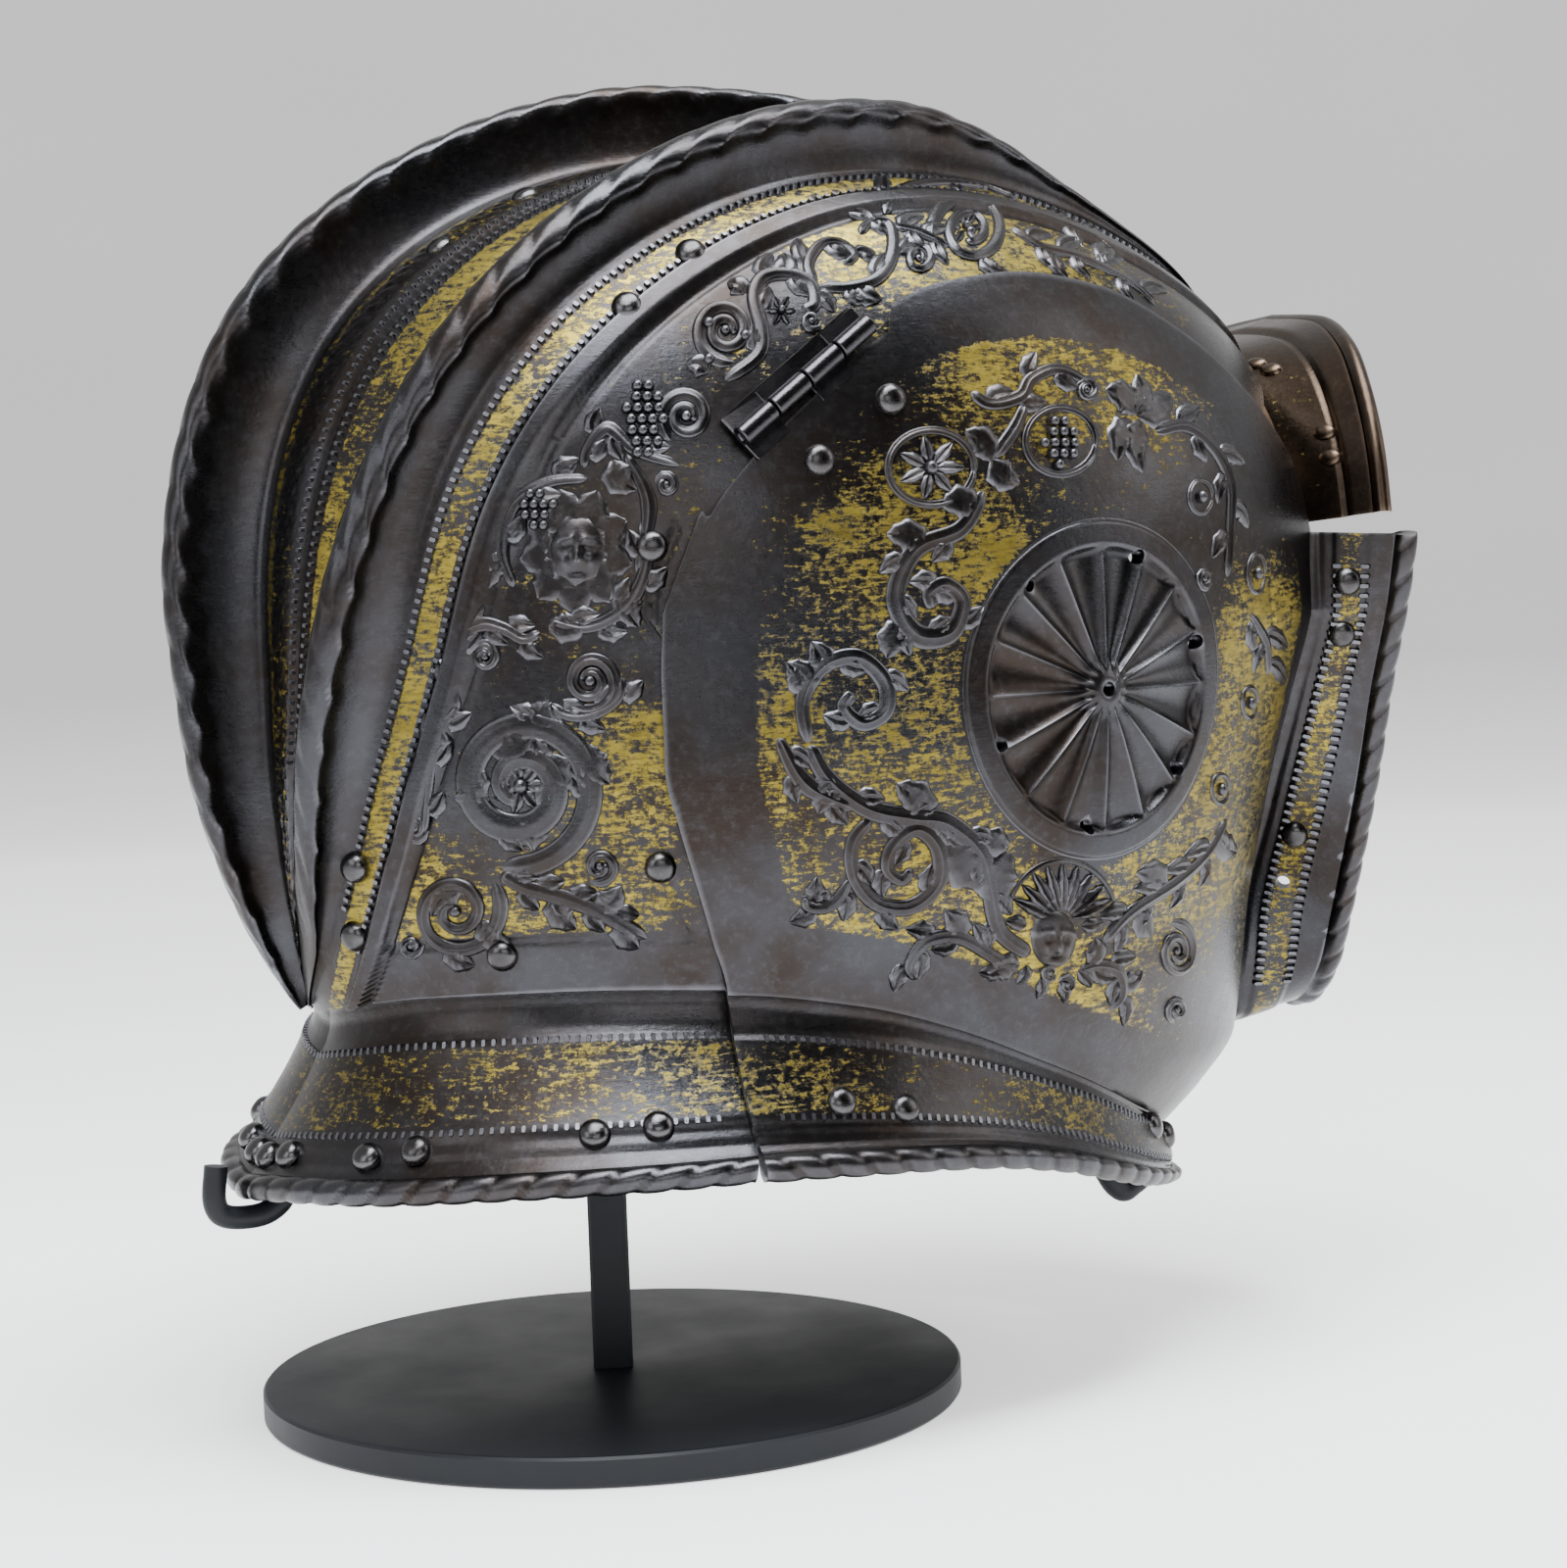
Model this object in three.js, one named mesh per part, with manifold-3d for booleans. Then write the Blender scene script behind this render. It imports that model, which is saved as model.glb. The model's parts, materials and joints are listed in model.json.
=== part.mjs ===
// Parade helmet with three roped combs and two hinged cheekpieces, on a black display stand.
// Millimetres. +X is the wearer's front, +Y the wearer's left, +Z up.
// The origin is the centre of the underside of the stand's round foot.
import * as THREE from 'three';
import { mergeVertices } from 'three/addons/utils/BufferGeometryUtils.js';
import Module from 'manifold-3d';

const wasm = await Module();
wasm.setup();

// Driving dimensions
const GAP = 0.3;                 // air between touching pieces
const PLATE = 1.8;               // thickness of the steel
const EQUATOR_X = 60;            // widest section of the head form
const EQUATOR_Z = 200;
const RISE = 125;                // equator to the crown, without the combs
const REACH_REAR = 148;          // equator centre to the back of the skull
const REACH_FRONT = 158;         // equator centre to the front of the form
const HALF_WIDTH = 98;
const DROP = 141;                // equator to the throat at the front
const COMB_MID = 24.6;           // tallest point of the middle comb
const COMB_SIDE = 22.9;          // tallest point of a side comb
const COMB_WIDTH = 15;           // foot of a comb, fillets included
const CHEEK_LIFT = 3.4;          // outer face of a cheekpiece over the head form
const ROPE = 3.4;                // radius of the roped edges
const COLLAR_X = 29;             // centre of the collar's rim
const COLLAR_REAR = 127;
const COLLAR_FRONT = 130;
const COLLAR_HALF = 100;
const RIM_Z = 76;                // collar rim at the side
const NECK_Z = 117;              // neck fold at the side
const FOOT_RADIUS = 92;
const FOOT_HEIGHT = 8;
const POST = 10.4;
const RAIL_Z = 60;                // height of the bar inside the collar
const ROD = 3.1;                 // radius of the stand's bar and hooks
const RIVET_RADIUS = 3.9;
const RIVET_HEIGHT = 2.7;
const ROSETTE_RADIUS = 41.5;
const HOLE_RADIUS = 1.9;
const HOLE_ANGLES = [17, 70, 129, 200, 262, 321];
const KNUCKLE = 3.2;             // hinge barrel radius
const KNUCKLE_LONG = 11;
const HINGE_LIFT = 3;            // clear height of the barrel's ends over the head form
const PIN = 1.3;

// Places and tables were drawn for these sizes and follow the head form when it changes
const DRAWN = { x: 60, z: 200, rear: 148, front: 158, half: 98, rise: 125, drop: 141 };
const fitX = (x) => EQUATOR_X
  + (x - DRAWN.x) * (x > DRAWN.x ? REACH_FRONT / DRAWN.front : REACH_REAR / DRAWN.rear);
const fitY = (y) => y * HALF_WIDTH / DRAWN.half;
const fitZ = (z) => EQUATOR_Z
  + (z - DRAWN.z) * (z > DRAWN.z ? RISE / DRAWN.rise : DROP / DRAWN.drop);
const fitDrop = (z) => z * DROP / DRAWN.drop;
const CREASE_X = fitX(186);      // fold between a cheek and its face flange
const ROSETTE_X = fitX(99);
const ROSETTE_Z = fitZ(184.5);

// Horizontal sections of the head form below the equator, as shares of the sizes above
const SECTIONS = [
  { drop: 0.0, rear: 1.0, front: 1.0, half: 1.0 },
  { drop: 0.163, rear: 1.0, front: 0.911, half: 1.005 },
  { drop: 0.369, rear: 0.986, front: 0.848, half: 0.98 },
  { drop: 0.596, rear: 0.946, front: 0.813, half: 0.898 },
  { drop: 0.688, rear: 0.912, front: 0.81, half: 0.847 },
  { drop: 0.816, rear: 0.878, front: 0.804, half: 0.755 },
  { drop: 0.915, rear: 0.845, front: 0.741, half: 0.673 },
  { drop: 1.0, rear: 0.818, front: 0.658, half: 0.592 },
];
// Combs along the skull from the nape (0) to the brow (180): height shares,
// the side comb's swing from the middle, and where the skull's edge lies
const COMBS = [
  { along: 0, mid: 0.12, side: 0.04, swing: 45, edge: 92 },
  { along: 8, mid: 0.4, side: 0.12, swing: 42, edge: 93 },
  { along: 16, mid: 0.62, side: 0.34, swing: 39, edge: 94 },
  { along: 24, mid: 0.79, side: 0.54, swing: 36, edge: 96 },
  { along: 34, mid: 0.91, side: 0.75, swing: 32.8, edge: 100 },
  { along: 42, mid: 0.99, side: 0.8, swing: 30.5, edge: 104 },
  { along: 54, mid: 1.0, side: 0.7, swing: 27.2, edge: 109 },
  { along: 60, mid: 1.0, side: 0.66, swing: 26, edge: 110 },
  { along: 68, mid: 0.97, side: 0.62, swing: 25, edge: 86 },
  { along: 78, mid: 0.9, side: 0.62, swing: 24.2, edge: 66 },
  { along: 90, mid: 0.85, side: 0.66, swing: 23.6, edge: 56 },
  { along: 104, mid: 0.85, side: 0.73, swing: 22.8, edge: 52 },
  { along: 116, mid: 0.78, side: 0.77, swing: 22.2, edge: 56 },
  { along: 127, mid: 0.68, side: 0.75, swing: 22.6, edge: 64 },
  { along: 138, mid: 0.52, side: 0.57, swing: 24.6, edge: 78 },
  { along: 148, mid: 0.38, side: 0.31, swing: 28.5, edge: 94 },
  { along: 158, mid: 0.26, side: 0.18, swing: 34, edge: 100 },
  { along: 168, mid: 0.18, side: 0.15, swing: 41, edge: 98 },
  { along: 180, mid: 0.12, side: 0.12, swing: 49, edge: 92 },
];
// Half section of a comb: distance from its middle and height, as shares
const COMB_SECTION = [
  { out: 1.0, up: 0.0 },
  { out: 0.7, up: 0.07 },
  { out: 0.47, up: 0.3 },
  { out: 0.37, up: 0.62 },
  { out: 0.48, up: 0.86 },
  { out: 0.3, up: 0.97 },
];
const NAPE = { x: -78, z: 111 };
const BROW = { x: 187, z: 273 };
// Neck fold and rim heights round the collar, 0 at the throat and 180 at the nape
const COLLAR = [
  { round: 0, neck: -58, rim: -30 },
  { round: 25, neck: -56, rim: -27 },
  { round: 40, neck: -52, rim: -22.5 },
  { round: 51, neck: -47, rim: -17 },
  { round: 63, neck: -39, rim: -10 },
  { round: 76, neck: -27.5, rim: -4.5 },
  { round: 89, neck: -15.5, rim: -2 },
  { round: 101, neck: -6.5, rim: -1 },
  { round: 114, neck: -1.5, rim: -1.5 },
  { round: 130, neck: 0, rim: -2.5 },
  { round: 151, neck: -1.5, rim: -5 },
  { round: 166, neck: -5, rim: -6.5 },
  { round: 180, neck: -8, rim: -9 },
].map((r) => ({ round: r.round, neck: fitDrop(r.neck), rim: fitDrop(r.rim) }));
// The seam between the neck plate and a cheek's collar, at the neck and at the rim
const SEAM_X = 1;
const SEAM_LAP = 7;              // how far the neck plate runs on under the cheek
// Upper outline of a cheekpiece, from its rear edge to the temple
const CHEEK_TOP = [
  { x: -14, z: 208 },
  { x: -8, z: 223 },
  { x: -2, z: 236 },
  { x: 6, z: 246 },
  { x: 24, z: 262 },
  { x: 42, z: 275 },
  { x: 63, z: 284 },
  { x: 88, z: 287 },
  { x: 112, z: 284 },
  { x: 140, z: 272 },
  { x: 160, z: 258 },
  { x: 176, z: 241 },
  { x: 186, z: 221 },
].map((r) => ({ x: fitX(r.x), z: fitZ(r.z) }));
const CHEEK_REAR = [
  { z: 100, x: 2 },
  { z: 116, x: 1 },
  { z: 129, x: -4 },
  { z: 144, x: -9 },
  { z: 156, x: -12 },
  { z: 172, x: -15 },
  { z: 190, x: -15 },
  { z: 208, x: -14 },
].map((r) => ({ z: fitZ(r.z), x: fitX(r.x) }));
// Face flange: where the rope lies beside each height of the fold
const FLANGE = [
  { z: 80, ropeX: 217, ropeY: 0, ropeZ: 87 },
  { z: 84, ropeX: 216.5, ropeY: 8, ropeZ: 88.5 },
  { z: 90, ropeX: 214.5, ropeY: 17, ropeZ: 93 },
  { z: 100, ropeX: 212, ropeY: 27.5, ropeZ: 102 },
  { z: 113, ropeX: 209.5, ropeY: 36, ropeZ: 113.5 },
  { z: 133, ropeX: 207.5, ropeY: 46.5, ropeZ: 133 },
  { z: 152, ropeX: 207, ropeY: 54, ropeZ: 152 },
  { z: 179, ropeX: 207, ropeY: 62, ropeZ: 179 },
  { z: 204, ropeX: 207, ropeY: 71, ropeZ: 204.5 },
  { z: 221, ropeX: 207, ropeY: 75, ropeZ: 220 },
].map((r) => ({
  z: fitZ(r.z), ropeX: fitX(r.ropeX), ropeY: fitY(r.ropeY), ropeZ: fitZ(r.ropeZ),
}));
// Peak from the middle (0) to the temple (90)
const PEAK = [
  { round: 0, edgeX: 216, edgeY: 0, edgeZ: 281 },
  { round: 20, edgeX: 214.5, edgeY: 25, edgeZ: 279 },
  { round: 40, edgeX: 209, edgeY: 46, edgeZ: 272 },
  { round: 60, edgeX: 204, edgeY: 61, edgeZ: 259 },
  { round: 78, edgeX: 201, edgeY: 70, edgeZ: 243 },
  { round: 90, edgeX: 200, edgeY: 73.5, edgeZ: 227 },
].map((r) => ({
  round: r.round, edgeX: fitX(r.edgeX), edgeY: fitY(r.edgeY), edgeZ: fitZ(r.edgeZ),
}));
const PEAK_ROOT_X = fitX(190.5); // where the peak leaves the brow
const PEAK_TUCK = 12;            // how far it runs back inside the brow
const PEAK_Z = fitZ(222);        // height of the temples
const PEAK_ROUND = 85;

const rad = THREE.MathUtils.degToRad;
const V = (x, y, z) => new THREE.Vector3(x, y, z);

// Value of one column of a table at a place between its rows, without overshoot
function between(rows, by, column, at) {
  const n = rows.length;
  const X = rows.map((r) => r[by]);
  const F = rows.map((r) => r[column]);
  if (at <= X[0]) return F[0];
  if (at >= X[n - 1]) return F[n - 1];
  let k = 0;
  while (at > X[k + 1]) k += 1;
  const slope = (i) => (F[i + 1] - F[i]) / (X[i + 1] - X[i]);
  const tangent = (i) => {
    if (i === 0) return slope(0);
    if (i === n - 1) return slope(n - 2);
    const a = slope(i - 1);
    const b = slope(i);
    return a * b <= 0 ? 0 : (2 * a * b) / (a + b);
  };
  const h = X[k + 1] - X[k];
  const s = (at - X[k]) / h;
  const s2 = s * s;
  const s3 = s2 * s;
  return F[k] * (2 * s3 - 3 * s2 + 1) + F[k + 1] * (3 * s2 - 2 * s3)
    + h * (tangent(k) * (s3 - 2 * s2 + s) + tangent(k + 1) * (s3 - s2));
}

// Reaches of the head form at a height over the equator
function sectionAt(z) {
  if (z >= 0) {
    const full = Math.max(0, 1 - (z / RISE) ** 2.5) ** (1 / 2.5);
    const slim = Math.max(0, 1 - (z / RISE) ** 2.1) ** (1 / 2.1);
    return { rear: REACH_REAR * full, front: REACH_FRONT * slim, half: HALF_WIDTH * full };
  }
  const drop = Math.min(1, -z / DROP);
  return {
    rear: REACH_REAR * between(SECTIONS, 'drop', 'rear', drop),
    front: REACH_FRONT * between(SECTIONS, 'drop', 'front', drop),
    half: HALF_WIDTH * between(SECTIONS, 'drop', 'half', drop),
  };
}
function formValue(P) {
  const z = P.z - EQUATOR_Z;
  if (z >= RISE) return 1;
  const s = sectionAt(z);
  const x = P.x - EQUATOR_X;
  return (x / (x > 0 ? s.front : s.rear)) ** 2 + (P.y / s.half) ** 2 - 1;
}
function formNormal(P) {
  const d = 0.8;
  const n = V(
    formValue(V(P.x + d, P.y, P.z)) - formValue(V(P.x - d, P.y, P.z)),
    formValue(V(P.x, P.y + d, P.z)) - formValue(V(P.x, P.y - d, P.z)),
    formValue(V(P.x, P.y, P.z + d)) - formValue(V(P.x, P.y, P.z - d)),
  );
  return n.normalize();
}
// Point of the form on the wearer's right at a height and an angle round the section
function formPoint(round, z) {
  const s = sectionAt(z - EQUATOR_Z);
  const c = Math.cos(round);
  return V(EQUATOR_X + (c > 0 ? s.front : s.rear) * c, -s.half * Math.sin(round), z);
}
function roundAt(x, z) {
  const s = sectionAt(z - EQUATOR_Z);
  const local = x - EQUATOR_X;
  return Math.acos(THREE.MathUtils.clamp(local / (local > 0 ? s.front : s.rear), -1, 1));
}

// Lift of a cheekpiece over the form: full where it laps the skull, none near the face
function liftAt(p) {
  const forward = THREE.MathUtils.smoothstep(p.x, EQUATOR_X + 40, EQUATOR_X + 105);
  const below = 1 - THREE.MathUtils.smoothstep(p.z, EQUATOR_Z + 8, EQUATOR_Z + 40);
  return PLATE / 2 + (CHEEK_LIFT - PLATE / 2) * (1 - forward * below);
}

// Closed solid from a row-by-row outer lattice and an inner lattice that may be coarser
function solidBetween(outer, inner) {
  const points = [];
  const faces = [];
  const store = (grid) => grid.map((row) => row.map((p) => points.push(p) - 1));
  const A = store(outer);
  const B = store(inner);
  const quads = (g, flip) => {
    for (let i = 0; i + 1 < g.length; i += 1) {
      for (let j = 0; j + 1 < g[i].length; j += 1) {
        const [a, b, c, d] = [g[i][j], g[i][j + 1], g[i + 1][j + 1], g[i + 1][j]];
        if (flip) faces.push([a, c, b], [a, d, c]);
        else faces.push([a, b, c], [a, c, d]);
      }
    }
  };
  quads(A, false);
  quads(B, true);
  const zip = (p, q) => {
    let i = 0;
    let j = 0;
    while (i + 1 < p.length || j + 1 < q.length) {
      const takeP = j + 1 >= q.length
        || (i + 1 < p.length && (i + 1) / (p.length - 1) <= (j + 1) / (q.length - 1));
      if (takeP) {
        faces.push([p[i], q[j], p[i + 1]]);
        i += 1;
      } else {
        faces.push([p[i], q[j], q[j + 1]]);
        j += 1;
      }
    }
  };
  const column = (g, j) => g.map((row) => row[j < 0 ? row.length + j : j]);
  zip(A[0], B[0]);
  zip(column(A, -1), column(B, -1));
  zip([...A[A.length - 1]].reverse(), [...B[B.length - 1]].reverse());
  zip(column(A, 0).reverse(), column(B, 0).reverse());
  const g = new THREE.BufferGeometry();
  g.setAttribute('position', new THREE.Float32BufferAttribute(
    points.flatMap((p) => [p.x, p.y, p.z]), 3));
  g.setIndex(faces.flat());
  return outward(g);
}
function volumeOf(g) {
  const p = g.attributes.position;
  const k = g.index;
  let v = 0;
  for (let i = 0; i < k.count; i += 3) {
    const a = V().fromBufferAttribute(p, k.getX(i));
    const b = V().fromBufferAttribute(p, k.getX(i + 1));
    const c = V().fromBufferAttribute(p, k.getX(i + 2));
    v += a.dot(b.cross(c)) / 6;
  }
  return v;
}
function outward(g) {
  if (volumeOf(g) < 0) {
    const k = g.index;
    for (let i = 0; i < k.count; i += 3) {
      const b = k.getX(i + 1);
      k.setX(i + 1, k.getX(i + 2));
      k.setX(i + 2, b);
    }
  }
  return g;
}
function toSolid(geometry) {
  let g = geometry.clone();
  g.deleteAttribute('normal');
  g.deleteAttribute('uv');
  g = mergeVertices(g, 1e-4);
  const k = Array.from(g.index.array);
  const kept = [];
  for (let i = 0; i < k.length; i += 3) {
    if (k[i] !== k[i + 1] && k[i + 1] !== k[i + 2] && k[i] !== k[i + 2]) {
      kept.push(k[i], k[i + 1], k[i + 2]);
    }
  }
  return new wasm.Manifold(new wasm.Mesh({
    numProp: 3,
    vertProperties: new Float32Array(g.attributes.position.array),
    triVerts: new Uint32Array(kept),
  }));
}
function fromSolid(solid) {
  const m = solid.getMesh();
  const g = new THREE.BufferGeometry();
  g.setAttribute('position', new THREE.Float32BufferAttribute(m.vertProperties, 3));
  g.setIndex(Array.from(m.triVerts));
  return g;
}
// Rod of round section between two points
function rod(a, b, radius, sides = 12) {
  const g = new THREE.CylinderGeometry(radius, radius, a.distanceTo(b), sides);
  g.applyQuaternion(new THREE.Quaternion().setFromUnitVectors(V(0, 1, 0),
    b.clone().sub(a).normalize()));
  g.translate((a.x + b.x) / 2, (a.y + b.y) / 2, (a.z + b.z) / 2);
  return g;
}
// Box laid in a frame of three axes
function block(centre, ax, ay, az, sx, sy, sz) {
  const g = new THREE.BoxGeometry(sx, sy, sz);
  g.applyMatrix4(new THREE.Matrix4().makeBasis(ax, ay, az).setPosition(centre));
  return g;
}
function mirrored(g) {
  const m = g.clone();
  m.applyMatrix4(new THREE.Matrix4().makeScale(1, -1, 1));
  const k = m.index;
  for (let i = 0; i < k.count; i += 3) {
    const b = k.getX(i + 1);
    k.setX(i + 1, k.getX(i + 2));
    k.setX(i + 2, b);
  }
  return m;
}
// Both faces of a plate from the lattice of its middle and its half thickness at each row place
function thicken(grid, half, trim = (p) => p) {
  const outer = [];
  const inner = [];
  grid.forEach((row, i) => {
    const before = grid[Math.max(0, i - 1)];
    const after = grid[Math.min(grid.length - 1, i + 1)];
    const o = [];
    const k = [];
    row.forEach((p, j) => {
      const a = after[j].clone().sub(before[j]);
      const b = row[Math.min(row.length - 1, j + 1)].clone().sub(row[Math.max(0, j - 1)]);
      const n = a.cross(b).normalize();
      o.push(trim(p.clone().addScaledVector(n, half[j])));
      k.push(trim(p.clone().addScaledVector(n, -half[j])));
    });
    outer.push(o);
    inner.push(k);
  });
  return solidBetween(outer, inner);
}
// Places across a roped edge, from its tip inwards, and the half thickness at each
const BEAD = [-1, -0.5, 0.5, 1];
const beadHalf = (k, radius = ROPE) => (
  Math.max(PLATE / 2, radius * Math.sqrt(Math.max(0, 1 - k * k))));
const steps = (n, a = 0, b = 1) => Array.from({ length: n + 1 }, (_, i) => a + ((b - a) * i) / n);

// Skull: meridians between the nape and the brow, with the three combs
const nape = V(fitX(NAPE.x), 0, fitZ(NAPE.z));
const brow = V(fitX(BROW.x), 0, fitZ(BROW.z));
const middle = nape.clone().add(brow).multiplyScalar(0.5);
const axisAlong = brow.clone().sub(nape).normalize();
const axisUp = V(-axisAlong.z, 0, axisAlong.x);
function meridian(along, swing) {
  const a = rad(along);
  const s = rad(swing);
  return axisAlong.clone().multiplyScalar(-Math.cos(a))
    .addScaledVector(axisUp, Math.sin(a) * Math.cos(s))
    .addScaledVector(V(0, -1, 0), Math.sin(a) * Math.sin(s));
}
function skullBase(along, swing) {
  const d = meridian(along, swing);
  let lo = 20;
  let hi = 260;
  for (let k = 0; k < 28; k += 1) {
    const m = (lo + hi) / 2;
    if (formValue(middle.clone().addScaledVector(d, m)) < 0) lo = m;
    else hi = m;
  }
  return { point: middle.clone().addScaledVector(d, lo), out: d };
}
// Where a meridian row of the skull ends: on the neck fold behind, inside the cheek in front
function skullEdge(along) {
  const table = between(COMBS, 'along', 'edge', along);
  if (along > 61) return table;
  let lo = 70;
  let hi = 135;
  for (let k = 0; k < 20; k += 1) {
    const m = (lo + hi) / 2;
    const p = skullBase(along, m).point;
    const round = THREE.MathUtils.radToDeg(roundAt(p.x, p.z));
    if (p.z > NECK_Z + between(COLLAR, 'round', 'neck', round) + 0.6) lo = m;
    else hi = m;
  }
  return lo;
}
function skullColumns(along) {
  const ring = Math.max(1, 150 * Math.sin(rad(along)));
  const swing = between(COMBS, 'along', 'swing', along);
  const edge = skullEdge(along);
  const mid = between(COMBS, 'along', 'mid', along) * COMB_MID;
  const side = between(COMBS, 'along', 'side', along) * COMB_SIDE;
  const foot = Math.min(COMB_WIDTH / 2, 0.44 * ring * rad(swing));
  const list = [];
  const wide = THREE.MathUtils.radToDeg(foot / ring);
  COMB_SECTION.slice().reverse().forEach((c) => list.push({ at: wide * c.out, up: mid * c.up }));
  list.push({ at: (wide + swing - wide) / 2, up: 0 });
  COMB_SECTION.forEach((c) => list.push({ at: swing - wide * c.out, up: side * c.up }));
  list.push({ at: swing, up: side });
  COMB_SECTION.slice().reverse().forEach((c) => {
    list.push({ at: swing + wide * c.out, up: side * c.up });
  });
  const start = swing + wide;
  steps(5).slice(1).forEach((s) => list.push({ at: start + (edge - start) * s, up: 0 }));
  const left = list.map((c) => ({ at: -c.at, up: c.up })).reverse();
  return [...left, { at: 0, up: mid }, ...list];
}
const ALONG = [2, 6, 12, 18, 25, 32, 40, 48, 56, 63, 69, 76, 84, 92, 100, 108, 116, 124, 132, 140,
  148, 157, 167, 176];
function buildSkull() {
  const outer = ALONG.map((along) => skullColumns(along).map((c) => {
    const b = skullBase(along, c.at);
    return b.point.addScaledVector(b.out, c.up);
  }));
  const inner = ALONG.filter((_, i) => i % 2 === 0 || i === ALONG.length - 1).map((along) => {
    const edge = skullEdge(along);
    return steps(16, -1, 1).map((s) => {
      const b = skullBase(along, s * edge);
      return b.point.clone().addScaledVector(formNormal(b.point), -PLATE);
    });
  });
  return solidBetween(outer, inner);
}

// Collar: neck fold to roped rim, a wearer's-right angle from 0 (throat) to 180 (nape)
function neckPoint(round) {
  const z = NECK_Z + between(COLLAR, 'round', 'neck', round);
  return formPoint(rad(round), z);
}
function rimPoint(round) {
  const r = rad(round);
  const c = Math.cos(r);
  return V(COLLAR_X + (c > 0 ? COLLAR_FRONT : COLLAR_REAR) * c, -COLLAR_HALF * Math.sin(r),
    RIM_Z + between(COLLAR, 'round', 'rim', round));
}
// Angle round the head form (neck) or the rim plan at a place along the seam
function seamAngles(x) {
  let round = 115;
  for (let k = 0; k < 6; k += 1) {
    const z = NECK_Z + between(COLLAR, 'round', 'neck', round);
    round = THREE.MathUtils.radToDeg(roundAt(x, z));
  }
  const rim = THREE.MathUtils.radToDeg(Math.acos((x - COLLAR_X) / COLLAR_REAR));
  return { neck: round, rim };
}
function collarPoint(round, v, lift, rimLift) {
  const flip = round.neck > 180 ? -1 : 1;
  const fold = (a) => (a > 180 ? 360 - a : a);
  const a = neckPoint(fold(round.neck));
  const b = rimPoint(fold(round.rim));
  const n = formNormal(a);
  n.z = 0;
  n.normalize();
  a.addScaledVector(n, lift === null ? liftAt(a) - PLATE / 2 : lift);
  b.addScaledVector(n, rimLift);
  const flare = Math.max(0, v) ** 1.5;
  return V(a.x + (b.x - a.x) * flare, flip * (a.y + (b.y - a.y) * flare),
    a.z + (b.z - a.z) * v);
}
const COLLAR_STEPS = [0.75, 0.5, 0.25, 0];
const RIM_HALF = BEAD.map((k) => beadHalf(k));
// Rim bead and flare of one upright row, from the rim's tip to the neck fold
function collarRow(round, lift, rimLift) {
  const P = (v) => collarPoint(round, v, lift, rimLift);
  const rim = P(1);
  const up = P(0.55).sub(rim).normalize();
  return [...BEAD.map((k) => rim.clone().addScaledVector(up, k * ROPE)),
    ...COLLAR_STEPS.map((v) => P(v))];
}
function buildNeckPlate() {
  const neck = seamAngles(SEAM_X + SEAM_LAP).neck;
  const rim = seamAngles(SEAM_X - 5 * GAP).rim;
  const grid = steps(24).map((u) => {
    const round = { neck: neck + (360 - 2 * neck) * u, rim: rim + (360 - 2 * rim) * u };
    const row = collarRow(round, -2.5 * PLATE - GAP, -0.6);
    const top = row[row.length - 1];
    return [...row, V(top.x, top.y, top.z + 6)];
  });
  return thicken(grid, [...RIM_HALF, ...COLLAR_STEPS.map(() => PLATE / 2), PLATE / 2]);
}

// Cheekpiece on the wearer's right
function cheekTop(x) {
  return between(CHEEK_TOP, 'x', 'z', x);
}
function cheekGrid(u, v) {
  let zr = NECK_Z + between(COLLAR, 'round', 'neck', 118);
  zr += (CHEEK_TOP[0].z - zr) * v;
  let zf = fitZ(59) + (fitZ(221) - fitZ(59)) * v;
  let p;
  for (let k = 0; k < 4; k += 1) {
    const rear = roundAt(between(CHEEK_REAR, 'z', 'x', zr), zr);
    const front = roundAt(CREASE_X, zf);
    const round = rear + (front - rear) * u;
    const low = NECK_Z + between(COLLAR, 'round', 'neck', THREE.MathUtils.radToDeg(round));
    const guess = formPoint(round, p ? p.z : zr + (zf - zr) * u);
    const high = cheekTop(guess.x);
    const z = low + (high - low) * v;
    p = formPoint(round, z);
    if (u === 0) zr = z;
    if (u === 1) zf = z;
    else {
      const end = roundAt(CREASE_X, zf);
      const endLow = NECK_Z + between(COLLAR, 'round', 'neck', THREE.MathUtils.radToDeg(end));
      zf = endLow + (fitZ(221) - endLow) * v;
    }
  }
  return p;
}
const atSeam = (p) => V(p.x, Math.min(p.y, -GAP), p.z);
const CHEEK_U = [0, 0.06, 0.13, 0.21, 0.3, 0.39, 0.48, 0.57, 0.66, 0.75, 0.83, 0.9, 0.96, 1];
const CHEEK_V = [0, 0.08, 0.18, 0.29, 0.41, 0.53, 0.65, 0.77, 0.89, 1];
function buildCheekBody() {
  const seam = seamAngles(SEAM_X);
  const grid = CHEEK_U.map((u) => {
    const round = { neck: seam.neck * (1 - u), rim: seam.rim * (1 - u) };
    const body = CHEEK_V.slice(1).map((v) => {
      const p = cheekGrid(u, v);
      return p.addScaledVector(formNormal(p), liftAt(p) - PLATE / 2);
    });
    return [...collarRow(round, null, 0.8), ...body];
  });
  const half = [...RIM_HALF, ...COLLAR_STEPS.map(() => PLATE / 2),
    ...CHEEK_V.slice(1).map(() => PLATE / 2)];
  return thicken(grid, half, atSeam);
}
function creasePoint(z) {
  const p = formPoint(roundAt(CREASE_X, z), z);
  const n = formNormal(p);
  return p.addScaledVector(n, liftAt(p) - PLATE / 2);
}
function ropeAt(z) {
  return V(between(FLANGE, 'z', 'ropeX', z), -between(FLANGE, 'z', 'ropeY', z),
    between(FLANGE, 'z', 'ropeZ', z));
}
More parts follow.
